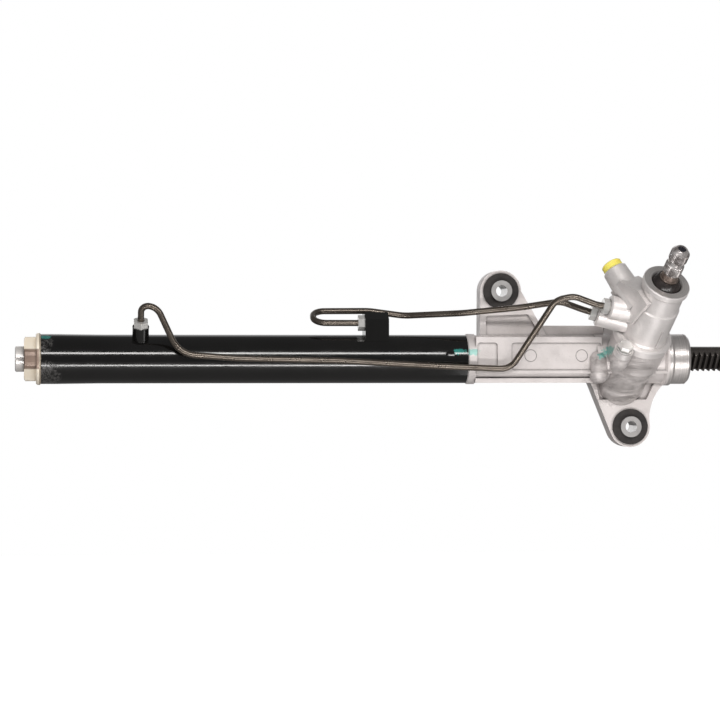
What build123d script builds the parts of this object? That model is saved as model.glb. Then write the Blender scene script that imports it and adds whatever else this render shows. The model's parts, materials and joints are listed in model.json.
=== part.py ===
from build123d import *
import os
from math import acos, atan, atan2, cos, degrees, pi, radians, sin, sqrt, tan

# Hydraulic power steering rack, in millimetres. X runs along the bar, Z is up and -Y is the front.
# While the pieces are made, X = 0 is a datum near the pinion. They are saved with the origin on the
# bar's axis in the middle of the right boot seat.

# Fits, as clearances on the radius or on a face
RUN_FIT = 0.05
SEAT_FIT = 0.03

# Rack bar
RACK_D = 24.0
RACK_LEFT_X = -591.1
RACK_LENGTH = 783.7
RACK_END_BORE_D = 14.0
RACK_END_BORE_DEPTH = 28.0
RACK_END_CHAMFER = 1.0
LOCK_SLOT_W = 3.0
LOCK_SLOT_L = 12.0
LOCK_SLOT_DEPTH = 1.8

# Teeth of the bar and the pinion
MODULE = 1.7
PRESSURE_ANGLE = 20.0
ADDENDUM = 1.0
DEDENDUM = 1.25
BACKLASH = 0.12
RACK_SPACES = 34
SPACES_LEFT_OF_PINION = 4
TOOTH_TIP_HEIGHT = 5.93
TOOTH_FACE_ANGLE = 45.0
PINION_TEETH = 8
PROFILE_SHIFT = 0.55
PINION_TIP_R = 8.85
PINION_ROOT_R = 5.75
PINION_FACE_S0 = -13.0
PINION_FACE_S1 = 14.0
PINION_SLANT_ANGLE = 10.0
PINION_X = -8.3

# Power cylinder tube
TUBE_D = 46.0
TUBE_WALL = 3.0
TUBE_LEFT_X = -566.9
TUBE_SHOWN_TO_X = -164.6
TUBE_MOUTH_D = 47.0
TUBE_MOUTH_L = 15.0
TUBE_FLARE_L = 42.0
STAKE_INSET = 17.5
STAKE_D = 9.0
STAKE_DEPTH = 0.8
STAKE_ANGLE = 79.0

# End nut and the bush, seal and ring that it carries
NUT_AF = 37.5
NUT_CORNER_FACE = 11.5
NUT_L = 11.1
NUT_FLANGE_D = 48.8
NUT_FLANGE_L = 4.7
NUT_SHANK_L = 37.0
ROD_CLEARANCE = 0.4
RACK_BUSH_D = 34.0
RACK_BUSH_L = 16.0
RACK_SEAL_L = 8.0
ORING_D = 2.6
ORING_SQUEEZE = 0.3
ORING_INSET = 8.0

# Seal carrier at the right end of the power cylinder
CARRIER_L = 50.0
CARRIER_GAP = 0.4
CARRIER_LAND = 4.0
CARRIER_WAIST_DEPTH = 2.0

# Piston
PISTON_STANDOFF = 22.0
PISTON_L = 18.0
PISTON_GAP = 0.35
PISTON_RING_W = 3.0
PISTON_RING_DEPTH = 2.5
SNAP_RING_W = 1.6
SNAP_RING_DEPTH = 1.0
SNAP_RING_H = 1.6

# Ports and hydraulic lines
PIPE_D = 6.0
PIPE_WALL = 0.8
PIPE_NUT_AF = 13.0
PIPE_NUT_HEAD_L = 6.5
PIPE_NUT_THREAD_D = 10.0
PIPE_NUT_THREAD_L = 7.0
SPOT_FACE_D = 17.0
OIL_HOLE_D = 4.0
LEFT_PORT_X = -474.2
LEFT_PORT_D = 15.6
LEFT_PORT_ANGLE = 30.0
LEFT_PORT_REACH = 35.0
BLOCK_STANDOFF = 21.2
BLOCK_W = 22.5
BLOCK_FRONT_Y = -16.0
BLOCK_DEPTH = 26.0
BLOCK_TOP_Z = 44.5
BLOCK_BEVEL_Z = 37.5
BLOCK_BEVEL_DEPTH = 10.0
BLOCK_PORT_Y = -8.0
BLOCK_PORT_Z = 34.1
RIGHT_OIL_STANDOFF = 8.0

# Gear housing, the part along the bar
BAR_BORE_D = 27.0
HOUSING_COLLAR_D = 48.0
HOUSING_COLLAR_L = 8.0
TUBE_SPIGOT_L = 26.0
STAKE_GROOVE_DEPTH = 1.5
BARREL_SECTION_D = 45.4
PANEL_FRONT_Y = -21.5
PANEL_TOP_Z = 20.8
PANEL_LOW_Z = -13.8
PANEL_RAIL = 5.2
PANEL_LOW_RAIL = 2.9
PANEL_DEPTH = 2.2
PANEL_CORNER_R = 3.0
SECTION_RIGHT_X = -36.0
RING_RIB_INSET = 35.3
RING_RIB_W = 12.0
RECESS_INSET = 8.6
RECESS_GAP = 1.2
EJECTOR_XS = (-104.5, -55.1)
EJECTOR_Z = 3.2
EJECTOR_D = 12.0
EJECTOR_LINE = 0.7
LIP_TOP_Z = -18.3
LIP_BOTTOM_Z = -22.7
LIP_FRONT_Y = -16.5
GEAR_BLOCK_D = 47.0
GEAR_BLOCK_RIGHT_X = 30.0
SHOULDER_D = 51.0
SHOULDER_LEFT_X = 28.0
BOOT_COLLAR_LEFT_X = 35.0
BOOT_COLLAR_RIGHT_X = 51.0
BOOT_COLLAR_D = 48.0
BOOT_GROOVE_X = 46.3
BOOT_GROOVE_W = 0.9
BOOT_GROOVE_DEPTH = 0.6
BOOT_COLLAR_CHAMFER = 2.5
BOOT_COLLAR_BORE_D = 36.0
BOOT_COLLAR_BORE_L = 14.0
CHEEK_R = 9.0
CHEEK_X = -38.5
CHEEK_Y = -17.5
CHEEK_TOP_Z = -1.0
CHEEK_LOW_Z = -14.5
WEB_LEFT_X = -92.0
WEB_TOP_Z = 32.0
WEB_BACK_Y = 15.0
WEB_T = 14.0
SIDE_RIB_Z = -12.4
SIDE_RIB_T = 3.0
SIDE_RIB_FRONT_Y = -22.0

# Gear housing, the barrel about the pinion; S is the height along the pinion's axis
BARREL_S0 = -34.0
BARREL_END_R = 21.0
BARREL_END_ROUND = 4.0
BARREL_KNEE_S = -22.0
BARREL_KNEE_R = 22.2
BARREL_WAIST_S = 9.0
BARREL_WAIST_R = 22.6
BARREL_STEP_S = 15.0
JOINT_S = 40.5
JOINT_FLANGE_R = 28.0
JOINT_FLANGE_T = 8.0
BARREL_NECK_R = 26.0
BARREL_HEAD_R = 27.2
PINION_BORE_R = 12.6

# Joint bolts
JOINT_BOLT_R = 34.0
JOINT_BOLT_ANGLE = 47.5
JOINT_BOLT_D = 8.0
JOINT_BOLT_AF = 12.0
JOINT_BOLT_HEAD_L = 5.3
JOINT_BOLT_WASHER_D = 15.5
JOINT_BOLT_WASHER_T = 1.4
JOINT_BOLT_GRIP = 18.0
BOLT_SEAT_T = 6.0
BOLT_SPOT_D = 16.5
BOLT_LUG_R = 9.0
BOLT_LUG_L = 20.0
BOLT_LUG_END_R = 6.0
BOLT_LUG_CONE_L = 10.0

# Valve housing, along the pinion's axis
VALVE_BODY_R = 22.0
VALVE_STEP_S = 87.0
VALVE_NECK_R = 20.6
TOP_FLANGE_D = 45.0
TOP_FLANGE_T = 6.3
TOP_FLANGE_S = 115.1
VALVE_BORE_R = 17.0
SPIGOT_L = 3.5
JOINT_ORING_D = 1.8
THROAT_R = 12.0
THROAT_S = 84.0
SEAL_BORE_D = 29.0
SEAL_BORE_S = 91.0
LINE_BOSS_D = 22.5
LINE_BOSS_CHAMFER = 1.2
UPPER_LINE_S = 72.0
UPPER_LINE_REACH = 42.5
UPPER_LINE_ANGLE = 4.0
LOWER_LINE_S = 55.0
LOWER_LINE_REACH = 49.0
LOWER_LINE_ANGLE = 12.0
PRESSURE_S = 78.5
PRESSURE_SIDE = 15.6
PRESSURE_TURN_ANGLE = 61.0
PRESSURE_RAISE_ANGLE = 12.0
PRESSURE_REACH = 44.7
PRESSURE_BOSS_D = 23.5
PRESSURE_BASE_D = 28.0
PRESSURE_THREAD_D = 16.0
PRESSURE_THREAD_L = 16.0
PRESSURE_WEB_SIDE = 11.9
PRESSURE_WEB_L = 27.0
PRESSURE_WEB_UP = 25.0
SIDE_FIN_ANGLE = 111.0
SIDE_FIN_L = 22.0
SIDE_FIN_W = 1.8
SIDE_FIN_H = 0.9
RETURN_S = 83.0
RETURN_ANGLE = 112.0
RETURN_REACH = 31.0
RETURN_BOSS_D = 20.0
RETURN_THREAD_D = 13.0
RETURN_THREAD_L = 12.0

# Transport cap of the pressure port
CAP_D = 19.7
CAP_SHOWN_L = 7.0
CAP_PLUG_L = 11.0
CAP_WALL = 1.5

# Pinion shaft
LOWER_JOURNAL_R = 6.0
LOWER_JOURNAL_S0 = -27.0
PINION_SHAFT_R = 10.0
BEARING_S0 = 25.0
BEARING_W = 12.0
BEARING_R = 21.0
BEARING_INNER_R = 12.7
BEARING_OUTER_R = 18.3
BEARING_BALL_R = 3.45
BEARING_BALLS = 9
BEARING_CAGE_T = 1.5
BEARING_CAGE_W = 8.0
PINION_SEAT_R = 13.0
PINION_HEAD_R = 15.5
PINION_HEAD_S = 46.0
LOWER_BEARING_R = 9.0
LOWER_BEARING_L = 10.0
VALVE_SEAL_S = 37.6
VALVE_SEAL_L = 6.5

# Rotary valve
SLEEVE_L = 30.0
SLEEVE_R = 16.8
ROTOR_R = 11.0
VALVE_SLOTS = 6
VALVE_SLOT_W = 3.4
VALVE_SLOT_DEPTH = 1.0
VALVE_SLOT_L = 18.0
SLEEVE_RINGS = 4
SLEEVE_RING_W = 1.8
SLEEVE_RING_DEPTH = 1.6
PORT_GROOVE_W = 3.5
PORT_GROOVE_DEPTH = 1.8
SLEEVE_HOLE_D = 3.0
SLEEVE_HOLES = 3

# Input shaft
STUB_R = 7.9
STUB_FLAT = 6.0
STUB_L = 9.0
VALVE_TWIST = 6.0
STOP_SLACK = 0.8
STEM_R = 9.0
SHANK_R = 8.1
SHANK_S = 122.0
SPLINE_R = 8.9
SPLINE_S = 129.0
PINCH_GROOVE_S = 141.5
PINCH_GROOVE_W = 3.6
PINCH_GROOVE_R = 7.6
INPUT_TIP_S = 157.6
INPUT_NOSE_L = 4.0
INPUT_NOSE_R = 5.4
TORSION_BAR_R = 3.0
TORSION_END_R = 3.6
TORSION_HEAD_R = 4.0
TORSION_S0 = 20.0
TORSION_HEAD_L = 13.0
TORSION_PIN_D = 4.0
TORSION_PIN_DOWN = 8.6

# Input bearing and seals
INPUT_BEARING_L = 8.0
INPUT_SEAL_L = 7.0
INPUT_STACK_GAP = 0.6
DUST_SEAL_S = 108.5
DUST_SEAL_BASE_L = 2.0
DUST_SEAL_TOP_S = 120.5
DUST_SEAL_WALL = 1.3
DUST_SEAL_BULGE = 0.9

# Rack guide
GUIDE_BORE_R = 13.0
GUIDE_BOSS_R = 16.5
GUIDE_BOSS_END = 38.0
GUIDE_SEAT_W = 22.0
GUIDE_LINER_T = 0.8
GUIDE_LINER_FROM = 6.5
GUIDE_YOKE_FROM = 4.0
GUIDE_YOKE_TO = 28.0
GUIDE_POCKET_R = 8.5
GUIDE_POCKET_L = 6.0
GUIDE_PLUG_FROM = 29.0
GUIDE_PLUG_TO = 43.0
GUIDE_HEX_AF = 14.0
GUIDE_HEX_DEPTH = 6.0
GUIDE_NUT_AF = 34.0
GUIDE_NUT_T = 4.5
DISC_SPRINGS = 4
DISC_SPRING_T = 1.0
DISC_SPRING_BORE_R = 4.2

# Mounting ears with their bushes
UPPER_EAR_X = -130.3
UPPER_EAR_Z = 65.0
LOWER_EAR_X = -4.4
LOWER_EAR_Z = -65.0
BUSH_D = 34.0
BUSH_L = 29.0
BUSH_FRONT_Y = -4.0
SLEEVE_OUT_D = 20.0
SLEEVE_BORE_D = 11.0
SLEEVE_LENGTH = 36.0
SLEEVE_FRONT_Y = -8.0
EAR_WALL = 2.7
EAR_FRONT_Y = -1.5
EAR_T = 22.0
EAR_RIB = 4.5
EAR_POCKET_DEPTH = 5.0
EAR_POCKET_CORNER_R = 2.5
UPPER_EAR_LEFT_X = -150.5
UPPER_EAR_FOOT_X = -72.5
UPPER_POCKET_TOP_Z = 43.0
UPPER_POCKET_LOW_Z = 22.0
LOWER_EAR_LEFT_X = -44.0
LOWER_EAR_LEFT_Z = -20.0
LOWER_EAR_RIGHT_X = 31.0
LOWER_EAR_RIGHT_Z = -22.0
LOWER_EAR_HOLLOW_X = 17.2
LOWER_EAR_HOLLOW_Z = -42.0
LOWER_POCKET_LOW_Z = -39.0
LOWER_POCKET_TOP_Z = -14.0
LOWER_EAR_HEAD_Z = -8.0
LOWER_EAR_NOSE_ANGLE = 8.0

# Routes of the two lines, from the cylinder's port to the valve's port, between the nuts
LEFT_LINE_ROUTE = [
    (-459.3, -28.5, 48.2),
    (-439.0, -28.5, 4.6),
    (-382.0, -29.0, 0.5),
    (-289.3, -28.5, -1.5),
    (-197.8, -28.0, -6.6),
    (-125.6, -29.0, -9.6),
    (-87.4, -58.0, 55.3),
    (-71.0, -62.0, 58.8),
]
LEFT_LINE_RADII = [6.5, 14.0, 26.0, 60.0, 90.0, 90.0, 17.0, 16.0, 18.0, 20.0]
RIGHT_LINE_TURN_L = 46.8
RIGHT_LINE_ROUTE = [
    (-255.0, 16.0, 46.0),
    (-222.0, 12.0, 41.4),
    (-169.2, -11.0, 43.6),
    (-115.6, -24.0, 48.8),
    (-79.0, -37.0, 54.5),
]
RIGHT_LINE_RADII = [11.5, 11.5, 60.0, 40.0, 60.0, 90.0, 26.0, 30.0]
LEFT_LINE_LEADS = (23.2, 13.0)
RIGHT_LINE_LEADS = (48.8, 13.0)

# Sizes worked out from the ones above
RACK_R = RACK_D / 2
TUBE_R = TUBE_D / 2
TUBE_BORE_R = TUBE_R - TUBE_WALL
STAKE_X = TUBE_SHOWN_TO_X - STAKE_INSET
CARRIER_LEFT_X = TUBE_SHOWN_TO_X - TUBE_SPIGOT_L - CARRIER_GAP - CARRIER_L
PISTON_RIGHT_X = CARRIER_LEFT_X - PISTON_STANDOFF
BLOCK_LEFT_X = CARRIER_LEFT_X - BLOCK_STANDOFF
RIGHT_OIL_X = CARRIER_LEFT_X - RIGHT_OIL_STANDOFF
RING_RIB_X = TUBE_SHOWN_TO_X + RING_RIB_INSET
PITCH = pi * MODULE
PINION_PITCH_R = MODULE * PINION_TEETH / (2 * cos(radians(PINION_SLANT_ANGLE)))
AXIS_DISTANCE = TOOTH_TIP_HEIGHT + PINION_PITCH_R + (PROFILE_SHIFT - ADDENDUM) * MODULE
TOOTH_ROOT_HEIGHT = TOOTH_TIP_HEIGHT - (ADDENDUM + DEDENDUM) * MODULE
BOOT_SEAT_MID_X = (BOOT_COLLAR_LEFT_X + BOOT_GROOVE_X) / 2
VALVE_MID_S = (UPPER_LINE_S + LOWER_LINE_S) / 2
SLEEVE_RING_PITCH = (UPPER_LINE_S - LOWER_LINE_S) / 2
SLEEVE_S0 = VALVE_MID_S - SLEEVE_L / 2
STEM_S = SLEEVE_S0 + SLEEVE_L
SEAL_BORE_R = SEAL_BORE_D / 2
VALVE_FLANGE_TOP_S = JOINT_S + JOINT_FLANGE_T
BOLT_SEAT_S = JOINT_S + BOLT_SEAT_T

# Directions: the teeth face FACE, the pinion's input end points along PINION_AXIS
FACE = Vector(0, -sin(radians(TOOTH_FACE_ANGLE)), -cos(radians(TOOTH_FACE_ANGLE)))
BACK = FACE * -1
ALONG_TEETH = Vector(0, -cos(radians(TOOTH_FACE_ANGLE)), sin(radians(TOOTH_FACE_ANGLE)))
SLANT = radians(PINION_SLANT_ANGLE)
PINION_AXIS = Vector(1, 0, 0) * sin(SLANT) + ALONG_TEETH * cos(SLANT)
LEFTWARD = Vector(-1, 0, 0) * cos(SLANT) + ALONG_TEETH * sin(SLANT)
CROSSING = Vector(PINION_X, 0, 0)
PINION_ORIGIN = CROSSING + FACE * AXIS_DISTANCE
PINION_FRAME = Plane(origin=PINION_ORIGIN, x_dir=LEFTWARD, z_dir=PINION_AXIS)
GUIDE_FRAME = Plane(origin=CROSSING, x_dir=(1, 0, 0), z_dir=BACK)


def turned(corners):
    """Solid turned about X from (x, radius) corners."""
    return revolve(make_face(Polyline(*corners, close=True)), Axis.X)


def turned_up(corners):
    """Solid turned about Z from (radius, height) corners."""
    profile = Plane.XZ * make_face(Polyline(*corners, close=True))
    return revolve(profile, Axis.Z)


def sleeve_x(x0, x1, outer, inner):
    """Plain ring about X."""
    return turned([(x0, inner), (x1, inner), (x1, outer), (x0, outer)])


def sleeve_z(z0, z1, outer, inner):
    """Plain ring about Z."""
    return turned_up([(inner, z0), (outer, z0), (outer, z1), (inner, z1)])


def rod_z(z0, z1, radius):
    """Plain cylinder about Z."""
    return Pos(0, 0, (z0 + z1) / 2) * Cylinder(radius, z1 - z0)


def block(x0, x1, y0, y1, z0, z1):
    """Box between two corners."""
    return Pos((x0 + x1) / 2, (y0 + y1) / 2, (z0 + z1) / 2) * Box(x1 - x0, y1 - y0, z1 - z0)


def capsule(start, end, radius):
    """Round-ended bar between two points."""
    line = Vector(*end) - Vector(*start)
    bar = Plane(origin=start, z_dir=line) * rod_z(0, line.length, radius)
    return bar + Pos(*start) * Sphere(radius) + Pos(*end) * Sphere(radius)


def on_pinion(shape):
    """Puts a shape made about Z onto the pinion's axis."""
    return PINION_FRAME.location * shape


def on_guide(shape):
    """Puts a shape made about Z onto the rack guide's axis."""
    return GUIDE_FRAME.location * shape


def around_pinion(turn):
    """Direction square to the pinion's axis, turned from the left towards the back."""
    return LEFTWARD * cos(radians(turn)) + BACK * sin(radians(turn))


def up_pinion(height):
    """Point on the pinion's axis."""
    return PINION_ORIGIN + PINION_AXIS * height


def port_frame(kind):
    """Plane at a port's mouth, its Z pointing out of the port."""
    if kind == "left":
        lean = radians(LEFT_PORT_ANGLE)
        out = Vector(0, -sin(lean), cos(lean))
        return Plane(origin=Vector(LEFT_PORT_X, 0, 0) + out * LEFT_PORT_REACH, z_dir=out)
    if kind == "right":
        return Plane(origin=(BLOCK_LEFT_X, BLOCK_PORT_Y, BLOCK_PORT_Z), z_dir=(-1, 0, 0))
    if kind == "upper":
        out = around_pinion(UPPER_LINE_ANGLE)
        return Plane(origin=up_pinion(UPPER_LINE_S) + out * UPPER_LINE_REACH, z_dir=out)
    if kind == "lower":
        out = around_pinion(LOWER_LINE_ANGLE)
        return Plane(origin=up_pinion(LOWER_LINE_S) + out * LOWER_LINE_REACH, z_dir=out)
    if kind == "return":
        out = around_pinion(RETURN_ANGLE)
        return Plane(origin=up_pinion(RETURN_S) + out * RETURN_REACH, z_dir=out)
    lift = radians(PRESSURE_RAISE_ANGLE)
    out = around_pinion(PRESSURE_TURN_ANGLE) * cos(lift) + PINION_AXIS * sin(lift)
    base = up_pinion(PRESSURE_S) + LEFTWARD * PRESSURE_SIDE
    return Plane(origin=base + out * PRESSURE_REACH, z_dir=out)


def line_port_bore(kind, reach):
    """Spot face, thread bore and oil hole of a line port, to cut from what carries it."""
    thread = rod_z(-PIPE_NUT_THREAD_L - 1, 1, PIPE_NUT_THREAD_D / 2 + SEAT_FIT)
    oil = rod_z(-reach, 0, OIL_HOLE_D / 2)
    face = rod_z(0, PIPE_NUT_HEAD_L + 2, SPOT_FACE_D / 2)
    return port_frame(kind).location * (thread + oil + face)


# Rack bar with its teeth, piston and rings

def tooth_gap_cutter():
    """Everything above the bar's teeth: the flat's step-down and each tooth space."""
    flank = tan(radians(PRESSURE_ANGLE)) * MODULE
    half_tip = PITCH / 4 + BACKLASH / 2 + flank * ADDENDUM
    half_root = PITCH / 4 + BACKLASH / 2 - flank * DEDENDUM
    first = PINION_X - SPACES_LEFT_OF_PINION * PITCH
    last = first + (RACK_SPACES - 1) * PITCH
    top = RACK_R + 1
    rise = (top - TOOTH_TIP_HEIGHT) / 2
    corners = [(first - PITCH - rise, top), (first - PITCH, TOOTH_TIP_HEIGHT)]
    for space in range(RACK_SPACES):
        mid = first + space * PITCH
        corners.append((mid - half_tip, TOOTH_TIP_HEIGHT))
        corners.append((mid - half_root, TOOTH_ROOT_HEIGHT))
        corners.append((mid + half_root, TOOTH_ROOT_HEIGHT))
        corners.append((mid + half_tip, TOOTH_TIP_HEIGHT))
    corners.append((last + PITCH, TOOTH_TIP_HEIGHT))
    corners.append((last + PITCH + rise, top))
    side = Plane(origin=(0, 0, 0), x_dir=(1, 0, 0), z_dir=Vector(1, 0, 0).cross(FACE))
    return extrude(side * make_face(Polyline(*corners, close=True)), RACK_R + 1, both=True)


def rack_bar():
    left = RACK_LEFT_X
    right = RACK_LEFT_X + RACK_LENGTH
    c = RACK_END_CHAMFER
    bar = turned([
        (left, 0), (right, 0), (right, RACK_R - c), (right - c, RACK_R), (left + c, RACK_R),
        (left, RACK_R - c),
    ])
    bore_r = RACK_END_BORE_D / 2
    tip = bore_r * tan(radians(30))
    depth = RACK_END_BORE_DEPTH
    bar -= turned([(left - 1, 0), (left - 1, bore_r), (left + depth, bore_r), (left + depth + tip, 0)])
    bar -= turned([(right + 1, 0), (right + 1, bore_r), (right - depth, bore_r), (right - depth - tip, 0)])
    for side in (-1, 1):
        y0 = side * (RACK_R - LOCK_SLOT_DEPTH)
        y1 = side * (RACK_R + 1)
        for x0, x1 in ((left - 1, left + LOCK_SLOT_L), (right - LOCK_SLOT_L, right + 1)):
            bar -= block(x0, x1, min(y0, y1), max(y0, y1), -LOCK_SLOT_W / 2, LOCK_SLOT_W / 2)
    for x0 in snap_ring_stations():
        bar -= sleeve_x(x0, x0 + SNAP_RING_W, RACK_R + 1, RACK_R - SNAP_RING_DEPTH)
    return bar - tooth_gap_cutter()


def snap_ring_stations():
    """Left faces of the two snap rings that hold the piston."""
    return (PISTON_RIGHT_X - PISTON_L - SNAP_RING_W, PISTON_RIGHT_X)


def piston():
    x1 = PISTON_RIGHT_X
    x0 = x1 - PISTON_L
    outer = TUBE_BORE_R - PISTON_GAP
    body = sleeve_x(x0, x1, outer, RACK_R + SEAT_FIT)
    mid = (x0 + x1) / 2
    half = PISTON_RING_W / 2
    return body - sleeve_x(mid - half, mid + half, outer + 1, outer - PISTON_RING_DEPTH)


def piston_ring():
    mid = PISTON_RIGHT_X - PISTON_L / 2
    half = PISTON_RING_W / 2 - SEAT_FIT
    inner = TUBE_BORE_R - PISTON_GAP - PISTON_RING_DEPTH + SEAT_FIT
    return sleeve_x(mid - half, mid + half, TUBE_BORE_R - RUN_FIT, inner)


def piston_snap_rings():
    rings = []
    inner = RACK_R - SNAP_RING_DEPTH + SEAT_FIT
    for x0 in snap_ring_stations():
        ring = sleeve_x(x0 + SEAT_FIT, x0 + SNAP_RING_W - SEAT_FIT, RACK_R + SNAP_RING_H, inner)
        gap = block(x0 - 1, x0 + SNAP_RING_W + 1, -2, 2, 0, RACK_R + SNAP_RING_H + 1)
        rings.append(ring - gap)
    return rings


# Power cylinder

def cylinder_tube():
    mouth_r = TUBE_MOUTH_D / 2
    mouth_end = TUBE_LEFT_X + TUBE_MOUTH_L
    flare_end = mouth_end + TUBE_FLARE_L
    corners = [(TUBE_LEFT_X, TUBE_BORE_R), (TUBE_SHOWN_TO_X, TUBE_BORE_R), (TUBE_SHOWN_TO_X, TUBE_R)]
    corners += [(flare_end, TUBE_R), (mouth_end, mouth_r), (TUBE_LEFT_X, mouth_r)]
    tube = turned(corners)
    out = port_frame("left").z_dir
    tube -= Plane(origin=(LEFT_PORT_X, 0, 0), z_dir=out) * rod_z(TUBE_BORE_R - 2, TUBE_R + 2, OIL_HOLE_D / 2)
    tube -= Pos(RIGHT_OIL_X, 0, 0) * rod_z(TUBE_BORE_R - 2, TUBE_R + 2, OIL_HOLE_D / 2)
    ball_r = (STAKE_D * STAKE_D / 4 + STAKE_DEPTH * STAKE_DEPTH) / (2 * STAKE_DEPTH)
    tilt = radians(STAKE_ANGLE)
    centre_r = TUBE_R - STAKE_DEPTH + ball_r
    return tube - Pos(STAKE_X, -centre_r * sin(tilt), centre_r * cos(tilt)) * Sphere(ball_r)


def left_port_boss():
    frame = port_frame("left")
    boss = frame.location * rod_z(-LEFT_PORT_REACH + TUBE_R - 4, 0, LEFT_PORT_D / 2)
    boss -= sleeve_x(LEFT_PORT_X - LEFT_PORT_D, LEFT_PORT_X + LEFT_PORT_D, TUBE_R + SEAT_FIT, 0)
    return boss - line_port_bore("left", LEFT_PORT_REACH)


def right_port_block():
    y0 = BLOCK_FRONT_Y
    y1 = y0 + BLOCK_DEPTH
    bevel_y = y0 + BLOCK_BEVEL_DEPTH
    outline = [(y0, 0), (y1, 0), (y1, BLOCK_TOP_Z), (bevel_y, BLOCK_TOP_Z), (y0, BLOCK_BEVEL_Z)]
    body = extrude(Plane.YZ * make_face(Polyline(*outline, close=True)), BLOCK_W)
    body = Pos(BLOCK_LEFT_X, 0, 0) * body
    body -= sleeve_x(BLOCK_LEFT_X - 1, BLOCK_LEFT_X + BLOCK_W + 1, TUBE_R + SEAT_FIT, 0)
    body -= line_port_bore("right", RIGHT_OIL_X - BLOCK_LEFT_X)
    start = (RIGHT_OIL_X, BLOCK_PORT_Y, BLOCK_PORT_Z)
    drop = Vector(RIGHT_OIL_X, 0, TUBE_R - 2) - Vector(*start)
    return body - Plane(origin=start, z_dir=drop) * rod_z(0, drop.length, OIL_HOLE_D / 2)


def end_nut_sides():
    """Square with cut corners, one corner face towards the front."""
    reach = NUT_AF / sqrt(2)
    square = Rot(0, 0, 45) * Rectangle(NUT_AF, NUT_AF)
    cut = reach - NUT_CORNER_FACE / 2
    return square & Rectangle(2 * cut, 2 * cut)


def end_nut():
    flange_x = TUBE_LEFT_X - NUT_FLANGE_L
    nut_x = flange_x - NUT_L
    rod_r = RACK_R + ROD_CLEARANCE
    shank_r = TUBE_BORE_R - SEAT_FIT
    shank_end = TUBE_LEFT_X + NUT_SHANK_L
    flange_r = NUT_FLANGE_D / 2
    round_off = 1.2
    nut = extrude(Plane(origin=(nut_x, 0, 0), x_dir=(0, 1, 0), z_dir=(1, 0, 0)) * end_nut_sides(), NUT_L)
    corner_r = NUT_AF * 0.56
    bevel = 2.2
    nut &= turned([
        (nut_x, 0), (nut_x, corner_r - bevel), (nut_x + bevel / 2, corner_r), (flange_x, corner_r),
        (flange_x, 0),
    ])
    nut += turned([
        (flange_x - 0.5, 0), (flange_x, flange_r - round_off), (flange_x + round_off, flange_r),
        (TUBE_LEFT_X - round_off, flange_r), (TUBE_LEFT_X, flange_r - round_off), (TUBE_LEFT_X, shank_r),
        (shank_end, shank_r), (shank_end, 0),
    ])
    nut -= sleeve_x(nut_x - 1, shank_end + 1, rod_r, 0)
    nut -= sleeve_x(shank_end - RACK_BUSH_L - RACK_SEAL_L, shank_end + 1, RACK_BUSH_D / 2 + SEAT_FIT, 0)
    ring_x = TUBE_LEFT_X + ORING_INSET
    return nut - sleeve_x(ring_x, ring_x + ORING_D + ORING_SQUEEZE, TUBE_BORE_R + 1, TUBE_BORE_R - ORING_D)


def o_ring(x0, outer):
    """Ring of round section in a groove that starts at x0."""
    mid_x = x0 + (ORING_D + ORING_SQUEEZE) / 2
    section_r = ORING_D / 2 - SEAT_FIT
    return Pos(mid_x, 0, 0) * Rot(0, 90, 0) * Torus(outer - ORING_D / 2, section_r)


def end_nut_o_ring():
    return o_ring(TUBE_LEFT_X + ORING_INSET, TUBE_BORE_R)


def left_rack_bushing():
    x1 = TUBE_LEFT_X + NUT_SHANK_L - RACK_SEAL_L
    return sleeve_x(x1 - RACK_BUSH_L, x1, RACK_BUSH_D / 2, RACK_R + RUN_FIT)


def rack_seal(x0, x1, lip_at_x1):
    """Lip seal about the bar, its hollow towards the oil."""
    outer = RACK_BUSH_D / 2
    inner = RACK_R + RUN_FIT
    seal = sleeve_x(x0, x1, outer, inner)
    depth = (x1 - x0) * 0.55
    mid = (outer + inner) / 2
    half = (outer - inner) * 0.35
    mouth = x1 if lip_at_x1 else x0
    tip = x1 - depth if lip_at_x1 else x0 + depth
    past = mouth + 1 if lip_at_x1 else mouth - 1
    return seal - turned([
        (tip, mid), (mouth, mid + half), (past, mid + half), (past, mid - half), (mouth, mid - half),
    ])


def left_rack_seal():
    x1 = TUBE_LEFT_X + NUT_SHANK_L
    return rack_seal(x1 - RACK_SEAL_L, x1, True)


def carrier_ring_x():
    """Left side of the ring groove in the seal carrier, clear of the bush."""
    return CARRIER_LEFT_X + RACK_SEAL_L + RACK_BUSH_L + CARRIER_LAND


def right_seal_carrier():
    x0 = CARRIER_LEFT_X
    x1 = x0 + CARRIER_L
    outer = TUBE_BORE_R - SEAT_FIT
    body = sleeve_x(x0, x1, outer, RACK_R + ROD_CLEARANCE)
    body -= sleeve_x(x0 - 1, x0 + RACK_SEAL_L + RACK_BUSH_L, RACK_BUSH_D / 2 + SEAT_FIT, 0)
    ring_x = carrier_ring_x()
    ring_end = ring_x + ORING_D + ORING_SQUEEZE
    body -= sleeve_x(ring_x, ring_end, outer + 1, TUBE_BORE_R - ORING_D)
    return body - sleeve_x(ring_end + CARRIER_LAND, x1 - CARRIER_LAND, outer + 1, outer - CARRIER_WAIST_DEPTH)


def carrier_o_ring():
    return o_ring(carrier_ring_x(), TUBE_BORE_R)


def right_rack_seal():
    return rack_seal(CARRIER_LEFT_X, CARRIER_LEFT_X + RACK_SEAL_L, False)


def right_rack_bushing():
    x0 = CARRIER_LEFT_X + RACK_SEAL_L
    return sleeve_x(x0, x0 + RACK_BUSH_L, RACK_BUSH_D / 2, RACK_R + RUN_FIT)


# Gear housing

def stand_up(sketch, front_y, depth):
    """Extrudes an XZ sketch backwards from its front face."""
    return extrude(Plane(origin=(0, front_y, 0), x_dir=(1, 0, 0), z_dir=(0, -1, 0)) * sketch, -depth)


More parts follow.
